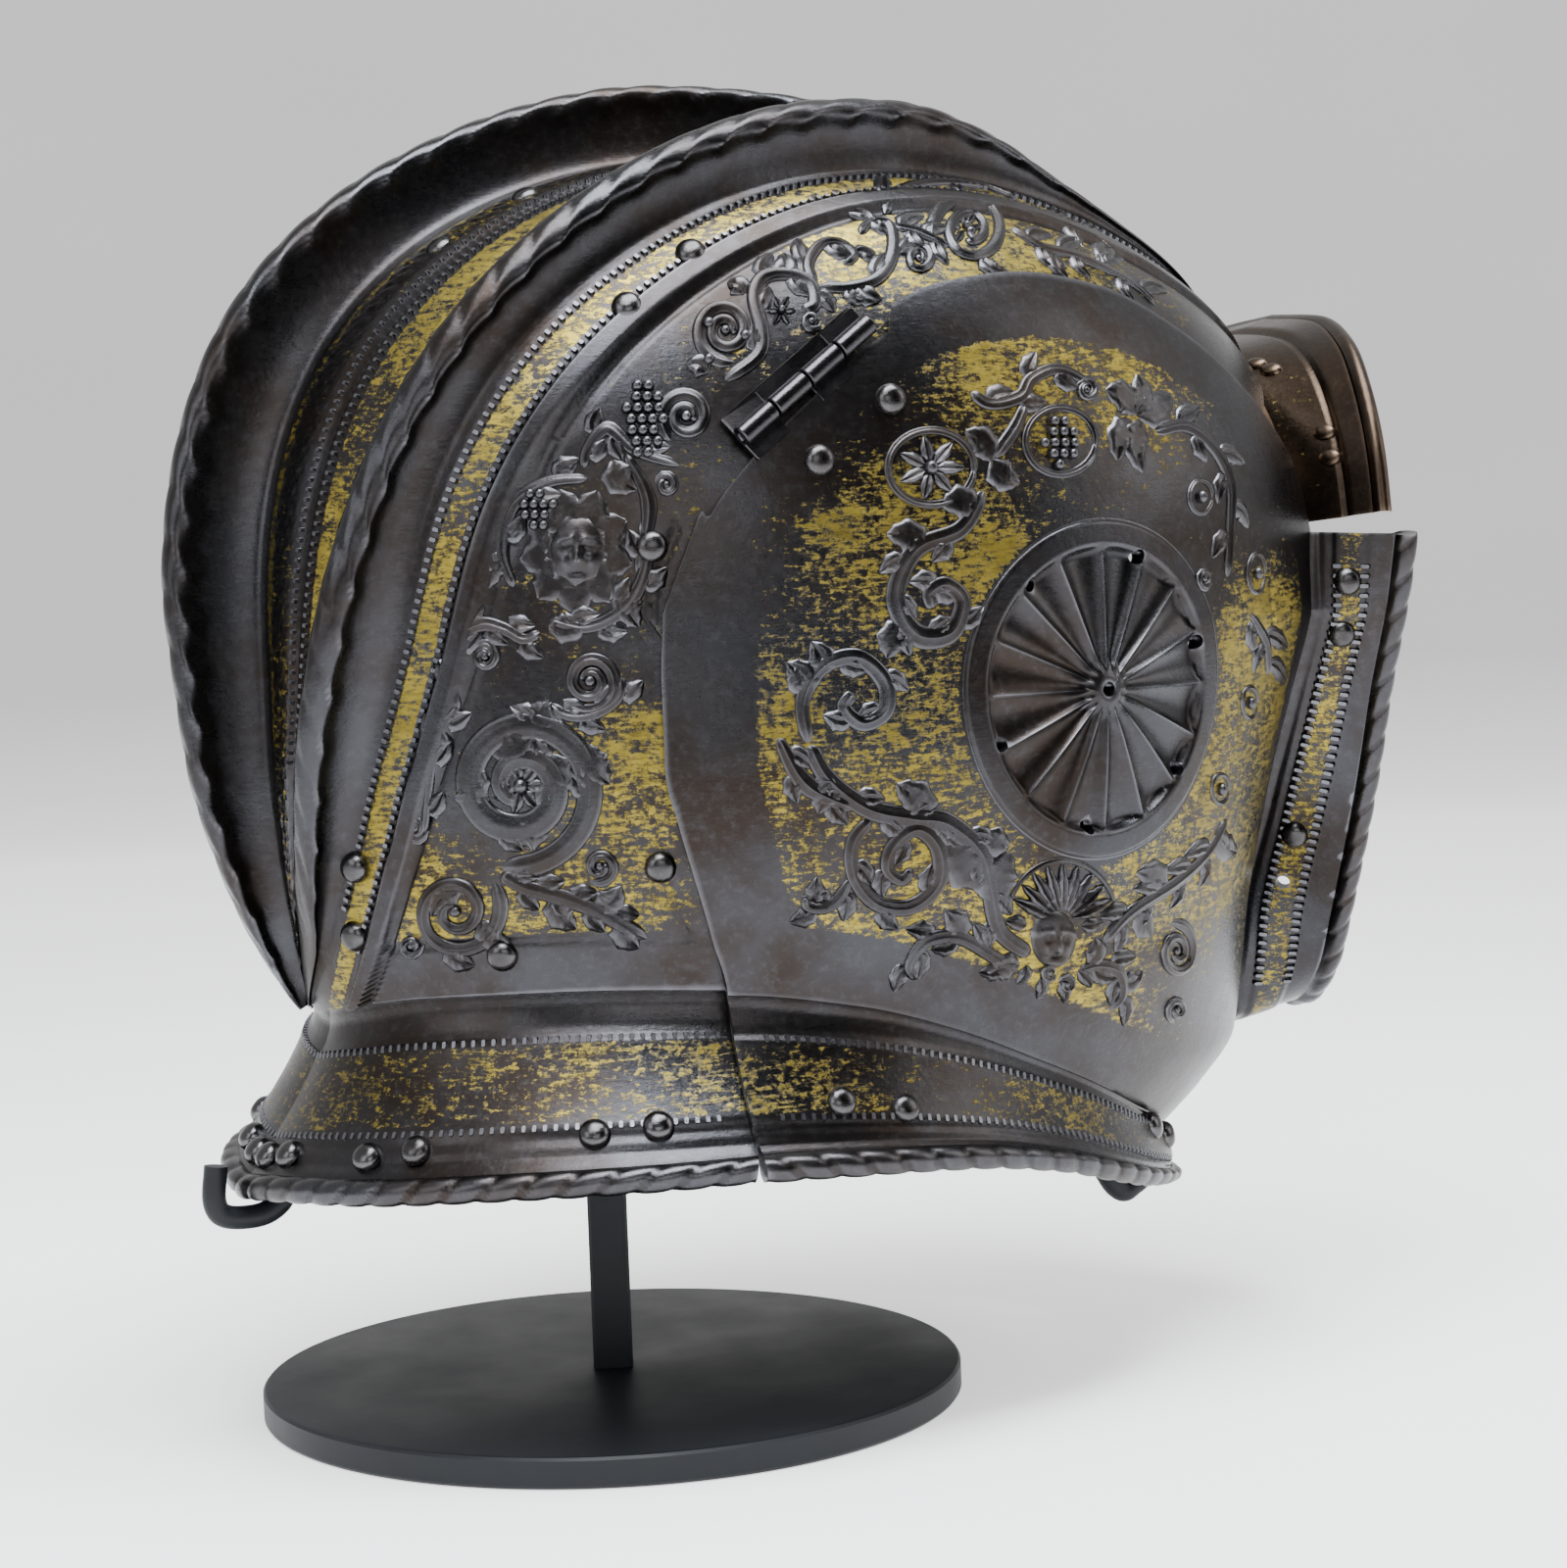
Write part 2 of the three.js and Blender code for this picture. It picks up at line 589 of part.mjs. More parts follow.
function buildFlange() {
  const grid = [79, 84, 90, 98, 108, 122, 140, 160, 180, 201, 221].map(fitZ).map((z) => {
    const root = creasePoint(z);
    const across = ropeAt(z).sub(root);
    const long = across.length();
    across.normalize();
    return [long, long - 0.5 * ROPE, long - 1.5 * ROPE, long - 2 * ROPE, long * 0.4, -0.6]
      .map((s) => root.clone().addScaledVector(across, s));
  });
  return thicken(grid, [...RIM_HALF, PLATE / 2, PLATE / 2], atSeam);
}
// Hinge axis of the right cheek, just over the skull's surface
const onSide = (x, z) => formPoint(roundAt(fitX(x), fitZ(z)), fitZ(z));
const hingeLow = onSide(4, 246);
const hingeHigh = onSide(43, 275);
const hingeOut = formNormal(hingeLow.clone().add(hingeHigh).multiplyScalar(0.5));
hingeLow.addScaledVector(hingeOut, KNUCKLE + HINGE_LIFT);
hingeHigh.addScaledVector(hingeOut, KNUCKLE + HINGE_LIFT);
const hingeAxis = hingeHigh.clone().sub(hingeLow).normalize();
const hingeMid = hingeLow.clone().add(hingeHigh).multiplyScalar(0.5);
const hingeDown = hingeAxis.clone().cross(hingeOut).normalize();
if (hingeDown.z > 0) hingeDown.negate();
const along = (s) => hingeMid.clone().addScaledVector(hingeAxis, s);
const KNUCKLES = [-1.5, -0.5, 0.5, 1.5].map((k) => k * (KNUCKLE_LONG + GAP));
const bore = toSolid(rod(along(-60), along(60), PIN + GAP, 6));
function knuckle(s, toward) {
  const half = KNUCKLE_LONG / 2;
  let k = toSolid(rod(along(s - half), along(s + half), KNUCKLE, 8));
  const leafIn = toward < 0 ? 0.4 : 1.0;
  const c = along(s).addScaledVector(hingeDown, toward * 4.6)
    .addScaledVector(hingeOut, -KNUCKLE + 0.55 + leafIn);
  k = k.add(toSolid(block(c, hingeAxis, hingeDown, hingeAxis.clone().cross(hingeDown),
    KNUCKLE_LONG, 9.2, 1.5)));
  return k.subtract(bore);
}
function buildCheek() {
  let s = toSolid(buildCheekBody());
  s = s.add(toSolid(buildFlange()));
  const half = 2 * (KNUCKLE_LONG + GAP) + GAP;
  s = s.subtract(toSolid(rod(along(-half), along(half), KNUCKLE + 1, 12)));
  s = s.subtract(toSolid(block(hingeMid.clone().addScaledVector(hingeDown, -6), hingeAxis,
    hingeDown, hingeAxis.clone().cross(hingeDown), 2 * half, 12, 30)));
  [0, 2].forEach((k) => { s = s.add(knuckle(KNUCKLES[k], 1)); });
  const out = formNormal(formPoint(roundAt(ROSETTE_X, ROSETTE_Z), ROSETTE_Z));
  const hub = formPoint(roundAt(ROSETTE_X, ROSETTE_Z), ROSETTE_Z);
  const ax = V(0, 0, 1).cross(out).normalize();
  const ay = out.clone().cross(ax).normalize();
  const holes = [{ r: 0, a: 0 }];
  HOLE_ANGLES.forEach((a) => holes.push({ r: 0.83 * ROSETTE_RADIUS, a: rad(a) }));
  holes.forEach((h) => {
    const c = hub.clone().addScaledVector(ax, h.r * Math.cos(h.a))
      .addScaledVector(ay, h.r * Math.sin(h.a));
    s = s.subtract(toSolid(rod(c.clone().addScaledVector(out, -16),
      c.clone().addScaledVector(out, 12), HOLE_RADIUS, 6)));
  });
  const flat = V(0, -400, 150);
  s = s.intersect(toSolid(block(flat.setY(-200 - GAP), V(1, 0, 0), V(0, 1, 0), V(0, 0, 1),
    600, 400, 600)));
  return fromSolid(s);
}

const steel = (color, roughness) => new THREE.MeshStandardMaterial({
  color, roughness, metalness: 0.9,
});
const darkSteel = steel(0x35302f, 0.42);
const rivetSteel = steel(0x3c3938, 0.36);
const hingeSteel = steel(0x1b1b1c, 0.4);
const blackPaint = new THREE.MeshStandardMaterial({
  color: 0x16181a, roughness: 0.55, metalness: 0.2,
});

const helmet = new THREE.Group();
function put(name, geometry, material, into = helmet) {
  const g = geometry.index ? geometry : mergeVertices(geometry);
  const mesh = new THREE.Mesh(g, material);
  mesh.name = name;
  into.add(mesh);
  return mesh;
}

// Stand
const foot = new THREE.CylinderGeometry(FOOT_RADIUS, FOOT_RADIUS, FOOT_HEIGHT, 48);
foot.rotateX(Math.PI / 2);
const footMesh = put('stand_base', foot, blackPaint);
footMesh.position.z = FOOT_HEIGHT / 2;
const rearRim = rimPoint(180);
const frontRim = rimPoint(0);
function sweep(points, radius, sides) {
  let s = null;
  points.slice(1).forEach((p, i) => {
    const a = points[i];
    const d = p.clone().sub(a).normalize().multiplyScalar(radius * 0.55);
    const piece = toSolid(rod(a.clone().sub(d), p.clone().add(d), radius, sides));
    s = s ? s.add(piece) : piece;
  });
  return s;
}
function buildStand() {
  const post = new THREE.BoxGeometry(POST, POST, RAIL_Z - FOOT_HEIGHT - GAP);
  post.translate(0, 0, (RAIL_Z + FOOT_HEIGHT + GAP) / 2);
  post.rotateZ(rad(-22));
  const reach = ROPE + ROD;
  const rearLow = rearRim.z - reach - 1.2;
  const frontLow = frontRim.z - reach - 1.6;
  return fromSolid(toSolid(post).add(sweep([
    V(rearRim.x - reach - 0.6, 0, rearRim.z + 6), V(rearRim.x - reach - 1.4, 0, rearRim.z - 3),
    V(rearRim.x - 3.5, 0, rearLow), V(rearRim.x + 3.5, 0, rearLow),
    V(rearRim.x + reach + 3, 0, RAIL_Z), V(frontRim.x - reach - 12, 0, RAIL_Z),
    V(frontRim.x - 4, 0, frontLow), V(frontRim.x + 3, 0, frontLow),
    V(frontRim.x + reach + 3, 0, frontRim.z - 2), V(frontRim.x + reach + 3, 0, frontRim.z + 1),
  ], ROD, 7)));
}
put('stand_post', buildStand(), blackPaint);

// Helmet plates
put('skull', buildSkull(), darkSteel);
put('neck_plate', buildNeckPlate(), darkSteel);
const cheek = buildCheek();
put('cheek_right', cheek, darkSteel);
put('cheek_left', mirrored(cheek), darkSteel);

// Peak
function browPoint(x, round, depth) {
  const d = V(0, Math.sin(rad(round)), Math.cos(rad(round)));
  let lo = 5;
  let hi = 130;
  for (let k = 0; k < 26; k += 1) {
    const m = (lo + hi) / 2;
    if (formValue(V(x, d.y * m, PEAK_Z + d.z * m)) < 0) lo = m;
    else hi = m;
  }
  const p = V(x, d.y * lo, PEAK_Z + d.z * lo);
  return p.addScaledVector(formNormal(p), -depth);
}
function buildPeak() {
  const bead = 0.8 * ROPE;
  const grid = steps(16, -PEAK_ROUND, PEAK_ROUND).map((round) => {
    const r = Math.abs(round);
    const side = round < 0 ? -1 : 1;
    const tuck = browPoint(PEAK_ROOT_X - PEAK_TUCK, round, 3.4 * PLATE);
    const root = browPoint(PEAK_ROOT_X, round, 2.2 * PLATE);
    const edge = V(between(PEAK, 'round', 'edgeX', r), side * between(PEAK, 'round', 'edgeY', r),
      between(PEAK, 'round', 'edgeZ', r));
    const across = edge.clone().sub(root).normalize();
    const long = edge.distanceTo(root);
    return [tuck, root, ...[0.35 * long, 0.68 * long, long - bead, long - 0.5 * bead,
      long + 0.5 * bead, long + bead].map((s) => root.clone().addScaledVector(across, s))];
  });
  const half = [1, 1, 1, 1].map(() => PLATE / 2).concat([-1, -0.5, 0.5, 1].map(
    (k) => beadHalf(k, bead)));
  return thicken(grid, half);
}
put('peak', buildPeak(), steel(0x4a3d33, 0.5));

// Hinges
function buildHinge() {
  let s = null;
  [1, 3].forEach((k) => {
    const piece = knuckle(KNUCKLES[k], -1);
    s = s ? s.add(piece) : piece;
  });
  const half = 2 * (KNUCKLE_LONG + GAP) - GAP;
  const c = hingeMid.clone().addScaledVector(hingeDown, -7.6)
    .addScaledVector(hingeOut, -KNUCKLE + 0.95);
  s = s.add(toSolid(block(c, hingeAxis, hingeDown, hingeAxis.clone().cross(hingeDown),
    2 * half, 3.2, 1.5)));
  return fromSolid(s);
}
const hinge = buildHinge();
put('hinge_right', hinge, hingeSteel);
put('hinge_left', mirrored(hinge), hingeSteel);
const pinHalf = 2 * (KNUCKLE_LONG + GAP) + 0.6;
const pin = mergeVertices(rod(along(-pinHalf), along(pinHalf), PIN, 6));
put('hinge_pin_right', pin, hingeSteel);
put('hinge_pin_left', mirrored(pin), hingeSteel);

// Rivets: domed heads seated on the plate under each place, the left ones mirrored
const dome = new THREE.LatheGeometry([
  new THREE.Vector2(0, 0), new THREE.Vector2(RIVET_RADIUS, 0),
  new THREE.Vector2(RIVET_RADIUS * 0.82, RIVET_HEIGHT * 0.62),
  new THREE.Vector2(0, RIVET_HEIGHT),
], 7);
const RIVETS = [
  { name: 'collar_nape', on: 'neck_plate', x: -92.5, y: -4.5, z: 74.6 },
  { name: 'collar_rear', on: 'neck_plate', x: -90.2, y: -16, z: 76.4 },
  { name: 'collar_side_a', on: 'neck_plate', x: -79.4, y: -43.1, z: 78.5 },
  { name: 'collar_side_b', on: 'neck_plate', x: -70.3, y: -53.2, z: 80.7 },
  { name: 'collar_side_c', on: 'neck_plate', x: -34.2, y: -78.7, z: 84.5 },
  { name: 'collar_side_d', on: 'neck_plate', x: -19.9, y: -84, z: 85.6 },
  { name: 'collar_cheek_a', on: 'cheek_right', x: 23.7, y: -94.4, z: 88.4 },
  { name: 'collar_cheek_b', on: 'cheek_right', x: 40.6, y: -95.1, z: 85 },
  { name: 'collar_front_a', on: 'cheek_right', x: 132, y: -50, z: 64.5 },
  { name: 'collar_front_b', on: 'cheek_right', x: 141, y: -40, z: 59.5 },
  { name: 'hinge_a', on: 'cheek_right', x: 23.6, y: -95, z: 242.9 },
  { name: 'hinge_b', on: 'cheek_right', x: 43.4, y: -94.7, z: 257 },
  { name: 'flange_a', on: 'cheek_right', flange: 207.5 },
  { name: 'flange_b', on: 'cheek_right', flange: 193.5 },
  { name: 'flange_c', on: 'cheek_right', flange: 138 },
  { name: 'skull_a', on: 'skull', x: -76.3, y: -34.8, z: 148.6 },
  { name: 'skull_b', on: 'skull', x: -75.5, y: -29.9, z: 131.3 },
  { name: 'skull_c', on: 'skull', x: -48.3, y: -59.1, z: 126.9 },
  { name: 'skull_d', on: 'skull', x: -16.5, y: -83.7, z: 147.2 },
  { name: 'skull_e', on: 'skull', x: -16, y: -84.9, z: 224 },
  { name: 'band_a', on: 'skull', x: -12.5, y: -67.3, z: 281.5 },
  { name: 'band_b', on: 'skull', x: 5.6, y: -65.4, z: 294.8 },
  { name: 'crown_a', on: 'skull', x: -41.6, y: -17.5, z: 299.7 },
  { name: 'crown_b', on: 'skull', x: -17.8, y: -17, z: 312 },
];
function seat(mesh, place, out) {
  mesh.updateMatrixWorld(true);
  const ray = new THREE.Raycaster(place.clone().addScaledVector(out, 40), out.clone().negate());
  const hit = ray.intersectObject(mesh, false)[0];
  if (!hit) throw new Error(`no plate under ${place.toArray()}`);
  return hit;
}
RIVETS.forEach((r) => {
  const target = helmet.getObjectByName(r.on);
  let place;
  let out;
  if (r.flange) {
    const root = creasePoint(fitZ(r.flange));
    const rope = ropeAt(fitZ(r.flange));
    place = root.clone().lerp(rope, 0.42);
    const across = rope.clone().sub(root).normalize();
    out = V(0, 0, 1).cross(across).normalize();
    if (out.y > 0) out.negate();
  } else {
    place = V(fitX(r.x), fitY(r.y), fitZ(r.z));
    out = r.on === 'skull' || r.z > 120 ? formNormal(place)
      : V(place.x - COLLAR_X, place.y, 0).normalize();
  }
  const hit = seat(target, place, out);
  const n = hit.face.normal.clone();
  const plateUnder = toSolid(target.geometry);
  let right = null;
  for (let lift = GAP; lift < 3 && !right; lift += 0.15) {
    const head = dome.clone();
    head.applyQuaternion(new THREE.Quaternion().setFromUnitVectors(V(0, 1, 0), n));
    const at = hit.point.clone().addScaledVector(n, lift);
    head.translate(at.x, at.y, at.z);
    const solid = toSolid(outward(head));
    const candidate = fromSolid(solid);
    const clear = [candidate, mirrored(candidate)].every((c) => (
      toSolid(c).intersect(plateUnder).volume() < 1e-9));
    if (clear) right = candidate;
  }
  put(`rivet_${r.name}_right`, right, rivetSteel);
  put(`rivet_${r.name}_left`, mirrored(right), rivetSteel);
});

export default helmet;
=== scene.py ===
"""Parade helmet on a display stand: the dressed model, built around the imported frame."""
import json
import math
from types import SimpleNamespace

import bpy
import numpy as np
from mathutils import Matrix, Vector
from mathutils.kdtree import KDTree

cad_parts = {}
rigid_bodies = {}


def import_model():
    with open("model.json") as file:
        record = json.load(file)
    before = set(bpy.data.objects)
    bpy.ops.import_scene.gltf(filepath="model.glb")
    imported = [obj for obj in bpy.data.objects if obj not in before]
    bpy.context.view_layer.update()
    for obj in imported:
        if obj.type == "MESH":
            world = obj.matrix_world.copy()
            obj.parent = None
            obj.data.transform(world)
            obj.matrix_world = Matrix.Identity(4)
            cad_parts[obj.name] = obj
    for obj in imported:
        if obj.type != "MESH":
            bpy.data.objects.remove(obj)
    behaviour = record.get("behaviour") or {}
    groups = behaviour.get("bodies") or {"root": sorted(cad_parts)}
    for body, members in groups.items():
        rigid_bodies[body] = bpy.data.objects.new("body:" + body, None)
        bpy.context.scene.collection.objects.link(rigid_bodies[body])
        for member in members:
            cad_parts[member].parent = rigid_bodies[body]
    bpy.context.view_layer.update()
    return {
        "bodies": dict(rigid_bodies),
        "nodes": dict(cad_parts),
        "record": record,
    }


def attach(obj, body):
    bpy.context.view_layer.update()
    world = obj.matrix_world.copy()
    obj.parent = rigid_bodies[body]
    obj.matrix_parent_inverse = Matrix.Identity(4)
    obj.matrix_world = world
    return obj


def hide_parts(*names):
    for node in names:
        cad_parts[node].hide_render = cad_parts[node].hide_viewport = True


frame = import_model()

bl_info = {
    "name": "Parade Helmet",
    "version": (1, 0, 0),
    "blender": (4, 5, 0),
    "location": "View3D > Sidebar > Helmet",
    "description": "Builds an embossed parade helmet with hinged cheekpieces on a display stand",
    "category": "Add Mesh",
}

# Lengths are millimetres, as in the drawing of the helmet, and become metres in add_piece
GAP = 0.3
EQUATOR = np.array([60.0, 0.0, 200.0])
RISE, REACH_REAR, REACH_FRONT, HALF_WIDTH, DROP = 125.0, 148.0, 158.0, 98.0, 141.0
COMB_MID, COMB_SIDE, COMB_FOOT = 24.6, 22.9, 7.5
CHEEK_LIFT = 3.4
COLLAR_X, COLLAR_REAR, COLLAR_FRONT, COLLAR_HALF = 29.0, 127.0, 130.0, 100.0
RIM_Z, NECK_Z, CREASE_X = 76.0, 117.0, 186.0
ROSETTE_X, ROSETTE_Z = 99.0, 184.5
HOLE_ANGLES = (17, 70, 129, 200, 262, 321)
SEAM_X, SEAM_LAP = 1.0, 7.0

# Sections of the head below its widest height: drop, rear, front and half width as shares
SECTIONS = np.array([
    (0.0, 1.0, 1.0, 1.0), (0.163, 1.0, 0.911, 1.005), (0.369, 0.986, 0.848, 0.98),
    (0.596, 0.946, 0.813, 0.898), (0.688, 0.912, 0.81, 0.847), (0.816, 0.878, 0.804, 0.755),
    (0.915, 0.845, 0.741, 0.673), (1.0, 0.818, 0.658, 0.592)])
# Combs from the nape (0) to the brow (180): middle and side height, swing, end of the skull
COMBS = np.array([
    (0, 0.12, 0.04, 45, 92), (8, 0.4, 0.12, 42, 93), (16, 0.62, 0.34, 39, 94),
    (24, 0.79, 0.54, 36, 96), (34, 0.91, 0.75, 32.8, 100), (42, 0.99, 0.8, 30.5, 104),
    (54, 1.0, 0.7, 27.2, 109), (60, 1.0, 0.66, 26, 110), (68, 0.97, 0.62, 25, 86),
    (78, 0.9, 0.62, 24.2, 66), (90, 0.85, 0.66, 23.6, 56), (104, 0.85, 0.73, 22.8, 52),
    (116, 0.78, 0.77, 22.2, 56), (127, 0.68, 0.75, 22.6, 64), (138, 0.52, 0.57, 24.6, 78),
    (148, 0.38, 0.31, 28.5, 94), (158, 0.26, 0.18, 34, 100), (168, 0.18, 0.15, 41, 98),
    (180, 0.12, 0.12, 49, 92)], float)
COMB_SECTION = np.array([(0, 1), (0.3, 0.97), (0.48, 0.86), (0.37, 0.62), (0.43, 0.3),
                         (0.66, 0.07), (1, 0)], float)
NAPE = np.array([-138.0, 0, -89.0]) + EQUATOR
BROW = np.array([127.0, 0, 73.0]) + EQUATOR
# Round the collar from the throat (0) to the nape (180): neck fold and rim heights
COLLAR = np.array([
    (0, -58, -30), (25, -56, -27), (40, -52, -22.5), (51, -47, -17), (63, -39, -10),
    (76, -27.5, -4.5), (89, -15.5, -2), (101, -6.5, -1), (114, -1.5, -1.5), (130, 0, -2.5),
    (151, -1.5, -5), (166, -5, -6.5), (180, -8, -9)], float)
CHEEK_TOP = np.array([(-14, 208), (-8, 223), (-2, 236), (6, 246), (24, 262), (42, 275), (63, 284),
                      (88, 287), (112, 284), (140, 272), (160, 258), (176, 241), (186, 221)], float)
CHEEK_REAR = np.array([(100, 2), (116, 1), (129, -4), (144, -9), (156, -12), (172, -15),
                       (190, -15), (208, -14)], float)
FLANGE = np.array([
    (80, 217, 0, 87), (84, 216.5, 8, 88.5), (90, 214.5, 17, 93), (100, 212, 27.5, 102),
    (113, 209.5, 36, 113.5), (133, 207.5, 46.5, 133), (152, 207, 54, 152), (179, 207, 62, 179),
    (204, 207, 71, 204.5), (221, 207, 75, 220)], float)
PEAK = np.array([(0, 216, 0, 281), (20, 214.5, 25, 279), (40, 209, 46, 272), (60, 204, 61, 259),
                 (78, 201, 71, 241), (90, 200, 75, 222.5)], float)
PEAK_ROOT_X, PEAK_TUCK, PEAK_Z, PEAK_ROUND = 190.5, 12.0, 222.0, 88.0

# The photograph's camera: place, azimuth, yaw, pitch and roll in degrees, focal length in pixels
CAMERA_AT = (-337.15, -834.47, 226.0)
CAMERA_TURN = (-22.0, -3.2287, -4.1707, 2.1)
CAMERA_FOCAL = 3510.0
FRAME_W, FRAME_H = 1599, 1600

# Bands of the skull by their distance from a side comb, and strips between combs by their share
CREST_PITCHES, CREST_TWIST = (11.5, 12.5), 1.3
GILT_BAND, RIDGE_BAND, PANEL_LINE, PANEL_FOOT = (9.0, 14.6), (17.8, 22.0), 24.6, 13.4
EDGE_STRIP, SCALE_STRIP, STRIP_LINE, GILT_STRIP = (0.03, 0.1), (0.13, 0.37), 0.46, (0.57, 0.9)
NICK_PITCH, WIDE_NICK_PITCH = 2.5, 2.6
# Holes, hinge and stand
HOLE_RADIUS, HOLE_RING, FLANGE_HOLE_Z, FLANGE_HOLE_SHARE = 1.9, 0.83, 124.5, 0.42
HINGE_LOW, HINGE_HIGH, HINGE_STAND_OFF = (4, 246), (43, 275), 6.2
KNUCKLE_LONG, BARREL = 11.0, 2.7
FOOT_TALL, POST_HALF, BAR_Z, BAR_RADIUS = 8.0, 5.2, 60.0, 3.0
BAR_REAR, HOOK_GAP = -98.0, 3.1
# Studio, in metres: name, place, aim, width, height, power and colour of each soft light
LAMPS = [
    ("top_box", (0.08, -0.26, 1.25), (0.02, -0.05, 0.25), 0.95, 0.62, 40, (0.92, 0.96, 1.0)),
    ("side_box", (-0.45, -0.55, 1.2), (0.0, 0.0, 0.22), 0.6, 0.5, 9, (0.93, 0.96, 1.0)),
    ("rear_box", (-1.3, -0.5, 0.75), (0.0, 0.0, 0.2), 0.8, 0.9, 9, (0.93, 0.96, 1.0)),
    ("front_box", (1.25, -0.7, 0.8), (0.1, 0.0, 0.18), 0.6, 0.9, 6, (1.0, 0.98, 0.95)),
    ("camera_box", (-0.5, -1.5, 0.6), (0.0, 0.0, 0.15), 0.9, 0.5, 6, (1, 1, 1)),
]
FLOOR_RADIUS, SWEEP_RADIUS, WALL_TALL, MOUTH = 1.8, 1.3, 4.5, (2.2, 6.0)


# Form of the head

def between(table, column, at):
    """Column of a table at places between its rows, without overshoot."""
    x, f = table[:, 0], table[:, column]
    at = np.clip(np.asarray(at, float), x[0], x[-1])
    k = np.clip(np.searchsorted(x, at, side="right") - 1, 0, len(x) - 2)
    h = np.diff(x)
    slope = np.diff(f) / h
    tangent = np.empty_like(f)
    tangent[0], tangent[-1] = slope[0], slope[-1]
    a, b = slope[:-1], slope[1:]
    with np.errstate(divide="ignore", invalid="ignore"):
        tangent[1:-1] = np.where(a * b <= 0, 0, 2 * a * b / (a + b))
    s = (at - x[k]) / h[k]
    s2, s3 = s * s, s * s * s
    return (f[k] * (2 * s3 - 3 * s2 + 1) + f[k + 1] * (3 * s2 - 2 * s3)
            + h[k] * (tangent[k] * (s3 - 2 * s2 + s) + tangent[k + 1] * (s3 - s2)))


def section_at(z):
    """Rear, front and half width of the head form at a height over the equator."""
    z = np.asarray(z, float)
    up = np.clip(z / RISE, 0, 1)
    full = (1 - up ** 2.5) ** 0.4
    slim = (1 - up ** 2.1) ** (1 / 2.1)
    drop = np.clip(-z / DROP, 0, 1)
    low = z < 0
    rear = REACH_REAR * np.where(low, between(SECTIONS, 1, drop), full)
    front = REACH_FRONT * np.where(low, between(SECTIONS, 2, drop), slim)
    half = HALF_WIDTH * np.where(low, between(SECTIONS, 3, drop), full)
    return np.maximum(rear, 1e-3), np.maximum(front, 1e-3), np.maximum(half, 1e-3)


def form_value(p):
    """Below zero inside the head form, above zero outside it."""
    z = p[..., 2] - EQUATOR[2]
    rear, front, half = section_at(z)
    x = p[..., 0] - EQUATOR[0]
    v = (x / np.where(x > 0, front, rear)) ** 2 + (p[..., 1] / half) ** 2 - 1
    return np.where(z >= RISE, 1.0, v)


def unit(v):
    """Vectors scaled to length one."""
    return v / np.maximum(np.linalg.norm(v, axis=-1, keepdims=True), 1e-12)


def form_normal(p):
    """Outward direction of the head form."""
    n = np.empty_like(p)
    for i in range(3):
        d = np.zeros(3)
        d[i] = 0.8
        n[..., i] = form_value(p + d) - form_value(p - d)
    return unit(n)


def form_point(turn, z):
    """Point of the head form on the wearer's right, by its turn from the front."""
    turn, z = np.broadcast_arrays(np.asarray(turn, float), np.asarray(z, float))
    rear, front, half = section_at(z - EQUATOR[2])
    c = np.cos(turn)
    return np.stack([EQUATOR[0] + np.where(c > 0, front, rear) * c, -half * np.sin(turn), z], -1)


def turn_at(x, z):
    """Turn from the front of the point with a given x and height."""
    rear, front, _ = section_at(np.asarray(z, float) - EQUATOR[2])
    local = x - EQUATOR[0]
    return np.arccos(np.clip(local / np.where(local > 0, front, rear), -1, 1))


def ramp(x, a, b):
    """Smooth step from 0 at a to 1 at b."""
    t = np.clip((np.asarray(x, float) - a) / (b - a), 0, 1)
    return t * t * (3 - 2 * t)


def cheek_lift(p):
    """Outer face of a cheekpiece over the head form."""
    plate = sizes().plate
    forward = ramp(p[..., 0], EQUATOR[0] + 40, EQUATOR[0] + 105)
    below = 1 - ramp(p[..., 2], EQUATOR[2] + 8, EQUATOR[2] + 40)
    return plate / 2 + (CHEEK_LIFT - plate / 2) * (1 - forward * below)


# Camera and places given by pixels of the photograph

def turned(v, axis, angle):
    """A vector turned about an axis by degrees."""
    return Matrix.Rotation(math.radians(angle), 3, Vector(axis)) @ Vector(v)


def camera_basis():
    """Right, up and back directions of the camera."""
    azimuth, yaw, pitch, roll = CAMERA_TURN
    a = math.radians(azimuth)
    right, back, up = (math.cos(a), math.sin(a), 0), (math.sin(a), -math.cos(a), 0), (0, 0, 1)
    right, back = turned(right, up, yaw), turned(back, up, yaw)
    up, back = turned(up, right, pitch), turned(back, right, pitch)
    right, up = turned(right, back, -roll), turned(up, back, -roll)
    return np.array(right), np.array(up), np.array(back)


RIGHT, UP, BACK = camera_basis()
EYE = np.array(CAMERA_AT)


def pixel_of(p):
    """Pixels of the photograph where points are seen."""
    d = p - EYE
    depth = -(d @ BACK)
    return np.stack([FRAME_W / 2 + CAMERA_FOCAL * (d @ RIGHT) / depth,
                     FRAME_H / 2 - CAMERA_FOCAL * (d @ UP) / depth], -1)


